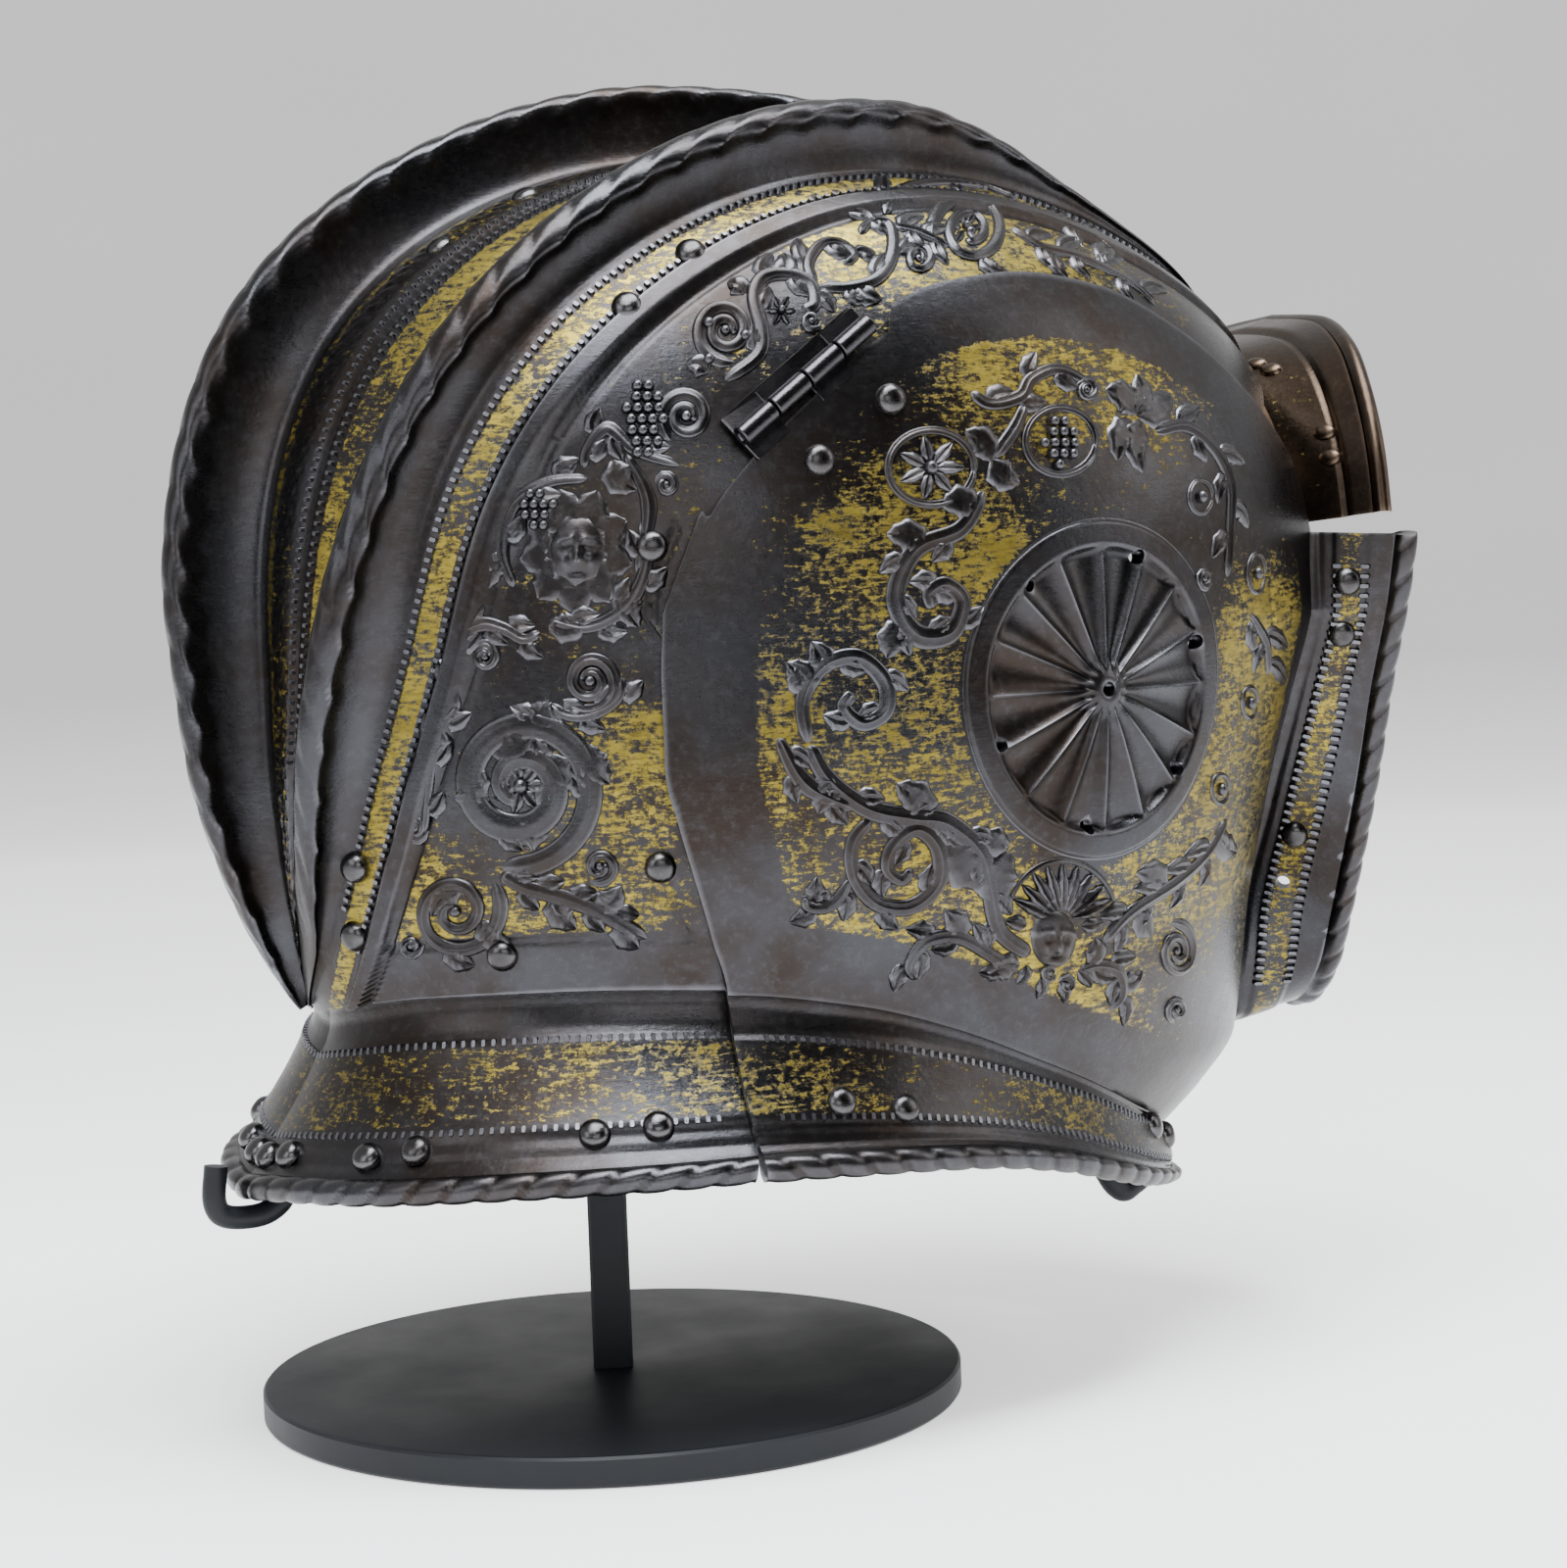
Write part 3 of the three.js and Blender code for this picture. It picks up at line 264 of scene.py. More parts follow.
def on_form(pixels, lift=0.0):
    """Points of the head form, lifted, that lie behind the pixels, and the normals there."""
    want = np.asarray(pixels, float)
    aim = want.copy()
    for _ in range(4):
        d = unit(RIGHT * ((aim[:, :1] - FRAME_W / 2) / CAMERA_FOCAL)
                 - UP * ((aim[:, 1:] - FRAME_H / 2) / CAMERA_FOCAL) - BACK)
        reach = np.linspace(640, 1120, 161)
        value = form_value(EYE + d[:, None, :] * reach[None, :, None])
        inside = value < 0
        hit = np.where(inside.any(1), inside.argmax(1), value.argmin(1))
        lo, hi = reach[np.maximum(hit - 1, 0)], reach[hit]
        for _ in range(18):
            m = (lo + hi) / 2
            deep = form_value(EYE + d * m[:, None]) < 0
            hi, lo = np.where(deep, m, hi), np.where(deep, lo, m)
        base = EYE + d * hi[:, None]
        n = form_normal(base)
        high = lift(base) if callable(lift) else lift
        p = base + n * np.reshape(high, (-1, 1)) if np.ndim(high) else base + n * high
        aim = aim + (want - pixel_of(p)) * 0.8
    return p, n


# Mesh building

def skin(outer, inner):
    """Closed skin from an outer lattice and an inner one that may be coarser."""
    verts = np.concatenate([outer.reshape(-1, 3), inner.reshape(-1, 3)])
    a = np.arange(outer.shape[0] * outer.shape[1]).reshape(outer.shape[:2])
    b = np.arange(inner.shape[0] * inner.shape[1]).reshape(inner.shape[:2]) + a.size
    faces = quads(a) + quads(b, True)

    def zip_up(p, q):
        i = j = 0
        while i + 1 < len(p) or j + 1 < len(q):
            if j + 1 >= len(q) or (i + 1 < len(p)
                                   and (i + 1) / (len(p) - 1) <= (j + 1) / (len(q) - 1)):
                faces.append((p[i], q[j], p[i + 1]))
                i += 1
            else:
                faces.append((p[i], q[j], q[j + 1]))
                j += 1
    a, b = a.tolist(), b.tolist()
    zip_up(a[0], b[0])
    zip_up([r[-1] for r in a], [r[-1] for r in b])
    zip_up(a[-1][::-1], b[-1][::-1])
    zip_up([r[0] for r in a][::-1], [r[0] for r in b][::-1])
    return verts, faces


def quads(index, flip=False, ring=False):
    """Four-sided faces of a lattice; a ring joins its last column to its first."""
    i = index
    if ring:
        i = np.concatenate([i, i[:, :1]], 1)
    q = np.stack([i[:-1, :-1], i[:-1, 1:], i[1:, 1:], i[1:, :-1]], -1).reshape(-1, 4)
    if flip:
        q = q[:, ::-1]
    return [tuple(f) for f in q.tolist()]


def signed_volume(verts, faces):
    """Volume of a skin, below zero when it is inside out."""
    total = 0.0
    for size in (3, 4):
        f = np.array([x for x in faces if len(x) == size])
        if len(f):
            for k in range(1, size - 1):
                a, b, c = verts[f[:, 0]], verts[f[:, k]], verts[f[:, k + 1]]
                total += np.einsum("ij,ij->", a, np.cross(b, c))
    return total / 6


class Bag:
    """Verts, faces and gilding of a piece that is made of many closed bits."""

    def __init__(self):
        self.verts, self.faces, self.gild, self.count = [], [], [], 0

    def add(self, verts, faces, gild=0.0):
        verts = np.asarray(verts, float).reshape(-1, 3)
        n = self.count
        self.verts.append(verts)
        self.faces += [tuple(i + n for i in f) for f in faces]
        self.gild.append(np.broadcast_to(np.asarray(gild, float), (len(verts),)))
        self.count += len(verts)

    def tube(self, points, gild=0.0):
        """Rows of rings, closed by a fan at each end."""
        n, m = points.shape[:2]
        index = np.arange(n * m).reshape(n, m)
        verts = np.concatenate([points.reshape(-1, 3), [points[0].mean(0), points[-1].mean(0)]])
        faces = quads(index, ring=True)
        for j in range(m):
            k = (j + 1) % m
            faces.append((int(index[0, k]), int(index[0, j]), n * m))
            faces.append((int(index[-1, j]), int(index[-1, k]), n * m + 1))
        if signed_volume(verts, faces) < 0:
            faces = [f[::-1] for f in faces]
        self.add(verts, faces, gild)

    def parts(self):
        return np.concatenate(self.verts), self.faces, np.concatenate(self.gild)


def add_piece(name, verts, faces, finish, body, replaces=(), gild=None, sharp=40):
    """New mesh object in metres that rides on a body."""
    if not len(faces):
        raise RuntimeError(name + " has no faces")
    if signed_volume(verts, faces) < 0:
        faces = [f[::-1] for f in faces]
    mesh = bpy.data.meshes.new(name)
    mesh.from_pydata((np.asarray(verts) / 1000).tolist(), [], faces)
    mesh.update()
    mesh.polygons.foreach_set("use_smooth", np.ones(len(mesh.polygons), bool))
    mesh.set_sharp_from_angle(angle=math.radians(sharp))
    if gild is not None:
        layer = mesh.attributes.new("gilding", "FLOAT", "POINT")
        layer.data.foreach_set("value", np.asarray(gild, np.float32))
    mesh.materials.append(finish)
    piece = bpy.data.objects.new(name, mesh)
    bpy.context.scene.collection.objects.link(piece)
    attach(piece, body)
    if replaces:
        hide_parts(*replaces)
    return piece


def both_sides(name, verts, faces, finish, bodies, replaces=((), ()), gild=None, sharp=40):
    """The wearer's right piece and its mirrored left one."""
    if signed_volume(verts, faces) < 0:
        faces = [f[::-1] for f in faces]
    flipped = np.asarray(verts) * (1, -1, 1)
    add_piece(name + "_right", verts, faces, finish, bodies[0], replaces[0], gild, sharp)
    add_piece(name + "_left", flipped, [f[::-1] for f in faces], finish, bodies[1],
              replaces[1], gild, sharp)


def drill(verts, faces, rods, gild=None):
    """Cuts round holes through a closed skin; rods are (place, direction, radius, half length)."""
    if signed_volume(verts, faces) < 0:
        faces = [f[::-1] for f in faces]
    tools = Bag()
    for at, along, radius, half in rods:
        a = unit(np.cross(along, [0.3, 0.2, 0.93]))
        b = np.cross(along, a)
        angle = np.linspace(0, 2 * math.pi, 20, endpoint=False)
        circle = radius * (np.outer(np.cos(angle), a) + np.outer(np.sin(angle), b))
        tools.tube(np.array([at - along * half + circle, at + along * half + circle]))
    made = []
    for name, (v, f) in (("work", (verts, faces)), ("tool", tools.parts()[:2])):
        mesh = bpy.data.meshes.new(name)
        mesh.from_pydata(np.asarray(v).tolist(), [], f)
        made.append(bpy.data.objects.new(name, mesh))
        bpy.context.scene.collection.objects.link(made[-1])
    cut = made[0].modifiers.new("cut", "BOOLEAN")
    cut.operation, cut.solver, cut.object = "DIFFERENCE", "EXACT", made[1]
    graph = bpy.context.evaluated_depsgraph_get()
    mesh = bpy.data.meshes.new_from_object(made[0].evaluated_get(graph))
    out = np.empty(len(mesh.vertices) * 3)
    mesh.vertices.foreach_get("co", out)
    out = out.reshape(-1, 3)
    mesh.calc_loop_triangles()
    parts = [tuple(p.vertices) if len(p.vertices) < 5 else None for p in mesh.polygons]
    new_faces = [p for p in parts if p]
    new_faces += [tuple(t.vertices) for t in mesh.loop_triangles if parts[t.polygon_index] is None]
    for piece in made:
        data = piece.data
        bpy.data.objects.remove(piece)
        bpy.data.meshes.remove(data)
    bpy.data.meshes.remove(mesh)
    if len(out) < 0.9 * len(verts):
        raise RuntimeError("the holes could not be cut")
    if gild is None:
        return out, new_faces, None
    tree = KDTree(len(verts))
    for i, v in enumerate(verts):
        tree.insert(v, i)
    tree.balance()
    return out, new_faces, np.array([gild[tree.find(v)[1]] for v in out])


CHEEKS = ("cheekpiece_right", "cheekpiece_left")
ROOT = ("helmet", "helmet")


# Roped edges

def strand(phase):
    """Height share across a twisted strand: round strands with narrow grooves."""
    t = 2 * (phase - np.floor(phase)) - 1
    return (1 - np.abs(t) ** 2.4) ** 0.8


def rope_rows(centre, tip, side, radius, arc, twist, pitch=9.5, rows=20, root=0.9):
    """Bead round an edge: rows from its inner foot round the tip to its outer foot."""
    foot = math.pi - math.asin(min(0.95, root / radius))
    phi = np.linspace(-foot, foot, rows)[None, :]
    phase = arc[:, None] / pitch + twist * phi / (2 * math.pi)
    edge = ramp(np.abs(phi), foot, foot - 0.9)
    r = radius * (1 - 0.2 * edge * (1 - strand(phase)))
    return (centre[:, None] + (r * np.cos(phi))[..., None] * tip[:, None]
            + (r * np.sin(phi))[..., None] * side[:, None])


def arc_length(p):
    """Distance along a line of points."""
    return np.concatenate([[0], np.cumsum(np.linalg.norm(np.diff(p, axis=0), axis=1))])


# Incised borders of the cheekpieces, in pixels of the photograph
CHEEK_BORDER = [(777, 987), (756, 880), (744, 780), (739, 700), (745, 620), (765, 550),
                (800, 482), (865, 424), (912, 372), (960, 336), (1020, 318), (1090, 320),
                (1160, 345), (1220, 395), (1262, 460), (1290, 540), (1300, 640)]
CHEEK_FOOT = [(777, 987), (860, 994), (950, 1010), (1040, 1038), (1120, 1072), (1172, 1094)]
# Gilding left on the panels: photo pixel, spread and strength
CHEEK_GOLD = [(965, 640, 75, 0.6), (1030, 365, 55, 0.55), (1100, 380, 50, 0.45),
              (860, 930, 80, 0.6), (800, 800, 45, 0.4), (960, 985, 75, 0.5), (1110, 1035, 45, 0.4),
              (1275, 700, 45, 0.45), (1265, 820, 45, 0.45), (1180, 900, 50, 0.4),
              (930, 530, 45, 0.45), (780, 690, 45, 0.3), (850, 560, 40, 0.25),
              (1290, 620, 35, 0.4), (1210, 850, 50, 0.45), (1180, 400, 45, 0.35),
              (930, 760, 40, 0.35), (1010, 900, 40, 0.3)]
SKULL_GOLD = [(640, 790, 55, 0.55), (398, 890, 38, 0.55), (560, 955, 60, 0.45),
              (640, 905, 40, 0.35), (870, 225, 45, 0.35), (1070, 250, 75, 0.5),
              (410, 960, 40, 0.5), (560, 620, 40, 0.2), (950, 230, 50, 0.3)]
SKULL_BORDER = [(702, 958), (682, 890), (667, 815), (660, 740), (660, 670), (668, 600), (690, 540)]


# Skull

MIDDLE = (NAPE + BROW) / 2
ALONG_AXIS = (BROW - NAPE) / np.linalg.norm(BROW - NAPE)
UP_AXIS = np.array([-ALONG_AXIS[2], 0, ALONG_AXIS[0]])


def skull_ray(along, swing):
    """Direction from the comb axis by the turn along the combs and the swing aside."""
    a, s = np.radians(along)[..., None], np.radians(swing)[..., None]
    return (-np.cos(a) * ALONG_AXIS + np.sin(a) * np.cos(s) * UP_AXIS
            + np.sin(a) * np.sin(s) * np.array([0, -1.0, 0]))


def skull_base(along, swing):
    """Point of the head form on such a ray, the ray, and its length."""
    along, swing = np.broadcast_arrays(np.asarray(along, float), np.asarray(swing, float))
    d = skull_ray(along, swing)
    lo, hi = np.full(along.shape, 20.0), np.full(along.shape, 260.0)
    for _ in range(26):
        m = (lo + hi) / 2
        deep = form_value(MIDDLE + d * m[..., None]) < 0
        lo, hi = np.where(deep, m, lo), np.where(deep, hi, m)
    return MIDDLE + d * lo[..., None], d, lo


def skull_edge(along):
    """Swing at which the skull ends at the collar or under the cheekpiece."""
    along = np.asarray(along, float)
    lo, hi = np.full(along.shape, 70.0), np.full(along.shape, 135.0)
    for _ in range(18):
        m = (lo + hi) / 2
        p = skull_base(along, m)[0]
        turn = np.degrees(turn_at(p[..., 0], p[..., 2]))
        above = p[..., 2] > NECK_Z + between(COLLAR, 1, turn) + 0.6
        lo, hi = np.where(above, m, lo), np.where(above, hi, m)
    table = between(COMBS, 4, along)
    return np.where(along > 61, table, lo)


def ring_of(along):
    """Rough radius of the skull round the comb axis."""
    return np.maximum(1, 150 * np.sin(np.radians(along)))


def smooth_line(points, n):
    """Even samples of a curve through the points."""
    points = np.asarray(points, float)
    ext = np.concatenate([[2 * points[0] - points[1]], points, [2 * points[-1] - points[-2]]])
    t = np.linspace(0, len(points) - 1, n)
    k = np.minimum(t.astype(int), len(points) - 2)
    s = (t - k)[:, None]
    a, b, c, d = ext[k], ext[k + 1], ext[k + 2], ext[k + 3]
    return 0.5 * (2 * b + (c - a) * s + (2 * a - 5 * b + 4 * c - d) * s ** 2
                  + (3 * b - a - 3 * c + d) * s ** 3)


def bump(x, a, b, edge):
    """One between a and b, falling to zero over the edge."""
    return ramp(x, a - edge, a) * (1 - ramp(x, b, b + edge))


def line(value, at, half=1.4):
    """Share of an incised line's depth."""
    return 1 - ramp(np.abs(value - at), 0.25 * half, half)


def spots(p, table, low):
    """Gilding from a floor value and soft spots given by photo pixel, spread and strength."""
    px = pixel_of(p)
    total = np.full(p.shape[:-1], low)
    for x, y, spread, strength in table:
        total += strength * np.exp(-((px[..., 0] - x) ** 2 + (px[..., 1] - y) ** 2)
                                   / (2 * spread * spread))
    return np.clip(total, 0, 0.83)


def skull_lattice(rows):
    """Outer skull on the wearer's right: points and the gilding at each."""
    half = smooth_line(COMB_SECTION, 24)
    along = np.linspace(0.4, 179.6, rows)[:, None]
    ring = ring_of(along)
    swing = between(COMBS, 3, along)
    edge = skull_edge(along[:, 0])[:, None]
    mid = between(COMBS, 1, along) * COMB_MID
    side = between(COMBS, 2, along) * COMB_SIDE
    foot = np.minimum(COMB_FOOT, 0.44 * ring * np.radians(swing))
    wide = np.degrees(foot / ring)
    out, up = half[:, 0][None], half[:, 1][None]
    share = np.linspace(0, 1, 30)[None, 1:]
    band = np.linspace(0, 1, 22)[None, 1:]
    rest = np.linspace(0, 1, 66)[None, 1:]
    start = swing + wide
    stop = np.minimum(start + np.degrees(16 / np.maximum(ring, 30)), start + (edge - start) * 0.5)
    at = [wide * out, wide + (swing - 2 * wide) * share, swing - wide * out[:, -2::-1],
          swing + wide * out[:, 1:], start + (stop - start) * band, stop + (edge - stop) * rest]
    flat = [np.zeros_like(a) for a in at]
    lift = [mid * up, flat[1], side * up[:, -2::-1], side * up[:, 1:], flat[4], flat[5]]
    at, lift = np.concatenate(at, 1), np.concatenate(lift, 1)
    base, ray, _ = skull_base(along, at)
    real = np.linalg.norm(np.cross(base - MIDDLE, ALONG_AXIS), axis=-1)
    off_mid = np.radians(at) * real
    off_side = np.radians(at - swing) * real
    # Twisted crests
    across = unit(np.cross(ray, ALONG_AXIS))
    arc = arc_length(base[:, 0])[:, None]
    for off, high, pitch in zip((off_mid, off_side), (mid, side), CREST_PITCHES):
        near = (np.abs(off) < foot) & (high > 0.5)
        crown = ramp(lift, 0.55 * high, 0.82 * high) * near
        turn = np.arctan2(off, np.maximum(lift - 0.8 * high, 0.05))
        groove = (1 - strand(arc / pitch + CREST_TWIST * turn / math.pi)) * crown * ramp(high, 2, 9)
        lift = lift - 0.6 * groove * np.abs(np.cos(turn))
        base = base - across * (1.0 * groove * np.sin(turn))[..., None]
    # Bands
    inner_foot = np.radians(swing) * real - foot
    trough = (off_mid - foot) / np.maximum(inner_foot - foot, 1)
    mid_trough = bump(off_mid, foot + 0.5, inner_foot - 0.5, 0.5)
    low = base[..., 2] - (NECK_Z + between(COLLAR, 1, np.degrees(turn_at(base[..., 0],
                                                                        base[..., 2]))))
    panel = ramp(off_side, PANEL_LINE, PANEL_LINE + 1.4) * ramp(low, 14, 15.5)
    relief = 1.5 * bump(off_side, *RIDGE_BAND, 1.4) - 0.6 * line(off_side, PANEL_LINE)
    relief -= 0.6 * line(low, PANEL_FOOT) * ramp(off_side, 23, 25)
    relief -= 0.7 * line(trough, STRIP_LINE, 0.035) * mid_trough
    scales = strand(arc / 5.2 + 1.6 * np.abs(trough - 0.25) / 0.13)
    relief += (0.15 + 0.75 * scales) * bump(trough, *SCALE_STRIP, 0.025) * mid_trough
    border = near_path(base[:, -67:], SKULL_BORDER, 0.0)
    relief[:, -67:] -= 0.6 * line(border, 0.0)
    gild = 0.84 * bump(off_side, *GILT_BAND, 0.6)
    gild = gild + (0.8 * bump(trough, *EDGE_STRIP, 0.02)
                   + 0.86 * bump(trough, *GILT_STRIP, 0.02)
                   + 0.55 * bump(trough, *SCALE_STRIP, 0.02)) * mid_trough
    gild = gild + panel * spots(base, SKULL_GOLD, 0.5)
    clear = 1 - ramp(lift, 0.5, 2.5)
    return base + ray * (lift + relief * clear)[..., None], gild * clear


# Settings

def sizes():
    """The panel's sizes, with the lengths in millimetres."""
    group = bpy.context.scene.helmet_sizes
    lengths = {name: 1000 * getattr(group, name)
               for name in ("plate", "rope", "relief", "rosette", "rivet", "foot")}
    return SimpleNamespace(flutes=group.flutes, detail=group.detail, **lengths)


def colours():
    """The panel's colours."""
    return bpy.context.scene.helmet_colours


class HelmetSizes(bpy.types.PropertyGroup):
    """Sizes that can be changed in the panel"""
    plate: bpy.props.FloatProperty(
        name="Plate", description="Thickness of the steel",
        subtype="DISTANCE", unit="LENGTH", precision=4, default=0.0018, min=0.0008)
    rope: bpy.props.FloatProperty(
        name="Rope", description="Radius of the roped edges",
        subtype="DISTANCE", unit="LENGTH", precision=4, default=0.0034, min=0.001)
    relief: bpy.props.FloatProperty(
        name="Relief", description="Height of the embossed scrolls",
        subtype="DISTANCE", unit="LENGTH", precision=4, default=0.0015, min=0.0002)
    rosette: bpy.props.FloatProperty(
        name="Rosette", description="Radius of the fluted rosettes",
        subtype="DISTANCE", unit="LENGTH", precision=4, default=0.0415, min=0.02)
    flutes: bpy.props.IntProperty(
        name="Flutes", description="Flutes in each rosette", subtype="UNSIGNED", default=16, min=6)
    rivet: bpy.props.FloatProperty(
        name="Rivet", description="Radius of a rivet head",
        subtype="DISTANCE", unit="LENGTH", precision=4, default=0.0039, min=0.001)
    foot: bpy.props.FloatProperty(
        name="Foot", description="Radius of the stand's foot",
        subtype="DISTANCE", unit="LENGTH", precision=4, default=0.092, min=0.05)
    detail: bpy.props.FloatProperty(
        name="Detail", description="Share of the full number of lattice rows",
        subtype="FACTOR", default=0.84, min=0.2, max=1.0)


class HelmetColours(bpy.types.PropertyGroup):
    """Colours that can be changed in the panel"""
    steel: bpy.props.FloatVectorProperty(
        name="Steel", description="Blackened steel", subtype="COLOR", default=(0.042, 0.042, 0.046))
    russet: bpy.props.FloatVectorProperty(
        name="Russet", description="Brown bloom on the steel", subtype="COLOR",
        default=(0.028, 0.022, 0.019))
    gold: bpy.props.FloatVectorProperty(
        name="Gold", description="Worn gilding", subtype="COLOR", default=(0.36, 0.277, 0.05))
    patina: bpy.props.FloatVectorProperty(
        name="Patina", description="Brown peak", subtype="COLOR", default=(0.05, 0.035, 0.024))
    paint: bpy.props.FloatVectorProperty(
        name="Paint", description="Matte black of the stand", subtype="COLOR",
        default=(0.008, 0.009, 0.011))
    floor: bpy.props.FloatVectorProperty(
        name="Floor", description="Pale floor and backdrop", subtype="COLOR",
        default=(0.84, 0.84, 0.845))


# Finishes

class Nodes:
    """Short names for the nodes of one material."""

    def __init__(self, name):
        self.material = bpy.data.materials.new(name)
        self.material.use_nodes = True
        self.tree = self.material.node_tree
        self.tree.nodes.clear()
        self.output = self.tree.nodes.new("ShaderNodeOutputMaterial")
        self.shader = self.tree.nodes.new("ShaderNodeBsdfPrincipled")
        self.tree.links.new(self.shader.outputs[0], self.output.inputs[0])
        self.where = self.tree.nodes.new("ShaderNodeTexCoord").outputs["Object"]

    def link(self, source, node, socket):
        if isinstance(source, (int, float)):
            node.inputs[socket].default_value = source
        elif isinstance(source, (tuple, list)):
            node.inputs[socket].default_value = source
        else:
            self.tree.links.new(source, node.inputs[socket])

    def stretched(self, x, y, z):
        node = self.tree.nodes.new("ShaderNodeMapping")
        node.inputs["Scale"].default_value = (x, y, z)
        self.link(self.where, node, "Vector")
        return node.outputs[0]

    def noise(self, scale, detail=5.0, rough=0.55, where=None, twist=0.0):
        node = self.tree.nodes.new("ShaderNodeTexNoise")
        self.link(where or self.where, node, "Vector")
        node.inputs["Scale"].default_value = scale
        node.inputs["Detail"].default_value = detail
        node.inputs["Roughness"].default_value = rough
        node.inputs["Distortion"].default_value = twist
        return node.outputs["Fac"]

    def sums(self, kind, a, b, limit=False):
        node = self.tree.nodes.new("ShaderNodeMath")
        node.operation = kind
        node.use_clamp = limit
        self.link(a, node, 0)
        self.link(b, node, 1)
        return node.outputs[0]

    def span(self, value, a, b, low=0.0, high=1.0):
        node = self.tree.nodes.new("ShaderNodeMapRange")
        self.link(value, node, "Value")
        for socket, number in (("From Min", a), ("From Max", b), ("To Min", low), ("To Max", high)):
            node.inputs[socket].default_value = number
        return node.outputs[0]

    def mix(self, share, a, b):
        node = self.tree.nodes.new("ShaderNodeMix")
        node.data_type = "RGBA"
        self.link(share, node, "Factor")
        for socket, colour in ((6, a), (7, b)):
            if isinstance(colour, bpy.types.NodeSocket):
                self.tree.links.new(colour, node.inputs[socket])
            else:
                node.inputs[socket].default_value = (*colour, 1)
        return node.outputs[2]

    def attribute(self, name):
        node = self.tree.nodes.new("ShaderNodeAttribute")
        node.attribute_name = name
        return node.outputs["Fac"]

    def bump(self, height, strength, distance, normal=None):
        node = self.tree.nodes.new("ShaderNodeBump")
        node.inputs["Strength"].default_value = strength
        node.inputs["Distance"].default_value = distance
        self.link(height, node, "Height")
        if normal is not None:
            self.tree.links.new(normal, node.inputs["Normal"])
        return node.outputs[0]

    def finish(self, colour, rough, normal=None, metal=1.0):
        for socket, value in (("Base Color", colour), ("Roughness", rough), ("Metallic", metal)):
            if isinstance(value, bpy.types.NodeSocket):
                self.tree.links.new(value, self.shader.inputs[socket])
            else:
                self.shader.inputs[socket].default_value = value
        if normal is not None:
            self.tree.links.new(normal, self.shader.inputs["Normal"])
        return self.material


def old_steel(name, gilded=True, base=None, bloom=None, polish=0.0):
    """Blackened steel with russet bloom, fine pits, scratches and worn gilding."""
    kept = bpy.data.materials.get(name)
    if kept:
        return kept
    n = Nodes(name)
    base = tuple(base or colours().steel)
    bloom = tuple(bloom or colours().russet)
    large = n.noise(26, 4, 0.6)
    fine = n.noise(420, 6, 0.7)
    pits = n.noise(900, 3, 0.6)
    scratch = n.noise(260, 5, 0.75, n.stretched(1.0, 1.0, 5.0))
    edge = n.tree.nodes.new("ShaderNodeNewGeometry").outputs["Pointiness"]
    colour = n.mix(n.span(large, 0.38, 0.64), base, bloom)
    colour = n.mix(n.span(fine, 0.5, 0.85, 0, 0.5), colour, tuple(1.8 * c for c in base))
    colour = n.mix(n.span(edge, 0.515, 0.6, 0, 0.75), colour, tuple(3.6 * c for c in base))
    colour = n.mix(n.span(edge, 0.49, 0.42, 0, 0.8), colour, tuple(0.3 * c for c in bloom))
    rough = n.sums("ADD", large, n.sums("MULTIPLY", n.sums("ADD", fine, scratch), 0.4))
    rough = n.span(rough, 0.6, 1.25, 0.21 - polish, 0.4 - polish)
    height = n.sums("ADD", n.sums("MULTIPLY", fine, 0.5), n.sums("MULTIPLY", pits, 0.3))
    height = n.sums("ADD", height, n.sums("MULTIPLY", scratch, 0.4))
    if gilded:
        amount = n.attribute("gilding")
        patch = n.noise(70, 6, 0.68, twist=0.6)
        broad = n.noise(19, 3, 0.55)
        speck = n.noise(560, 5, 0.75)
        brushed = n.noise(210, 6, 0.75, n.stretched(1.0, 1.0, 4.0), 0.4)
        worn = n.sums("MULTIPLY", n.sums("ADD", patch, broad), 0.55)
        worn = n.sums("ADD", worn, n.sums("MULTIPLY", n.sums("ADD", speck, brushed), 1.05))
        level = n.sums("ADD", n.sums("MULTIPLY", amount, 0.78), worn)
        mask = n.sums("MULTIPLY", n.span(level, 2.17, 2.34), n.span(amount, 0.05, 0.3))
        gold = n.mix(n.span(patch, 0.35, 0.7), tuple(colours().gold),
                     tuple(0.55 * c for c in colours().gold))
        gold = n.mix(n.span(brushed, 0.56, 0.4), gold, tuple(0.36 * c for c in colours().gold))
        colour = n.mix(n.sums("MULTIPLY", mask, 0.94), colour, gold)
        rough = n.sums("ADD", rough, n.sums("MULTIPLY", mask, 0.12))
        height = n.sums("ADD", height, n.sums("MULTIPLY", mask, 0.3))
    return n.finish(colour, rough, n.bump(height, 0.32, 0.0004), 1.0)


def black_paint():
    """Matte black paint with a slight cloud and grain."""
    kept = bpy.data.materials.get("stand_paint")
    if kept:
        return kept
    n = Nodes("stand_paint")
    cloud = n.noise(22, 5, 0.6)
    grain = n.noise(1400, 3, 0.6)
    colour = n.mix(n.span(cloud, 0.4, 0.75), tuple(colours().paint),
                   tuple(1.5 * c for c in colours().paint))
    rough = n.span(cloud, 0.3, 0.7, 0.4, 0.55)
    n.shader.inputs["Specular IOR Level"].default_value = 0.22
    return n.finish(colour, rough, n.bump(grain, 0.12, 0.0002), 0.0)


# Pieces

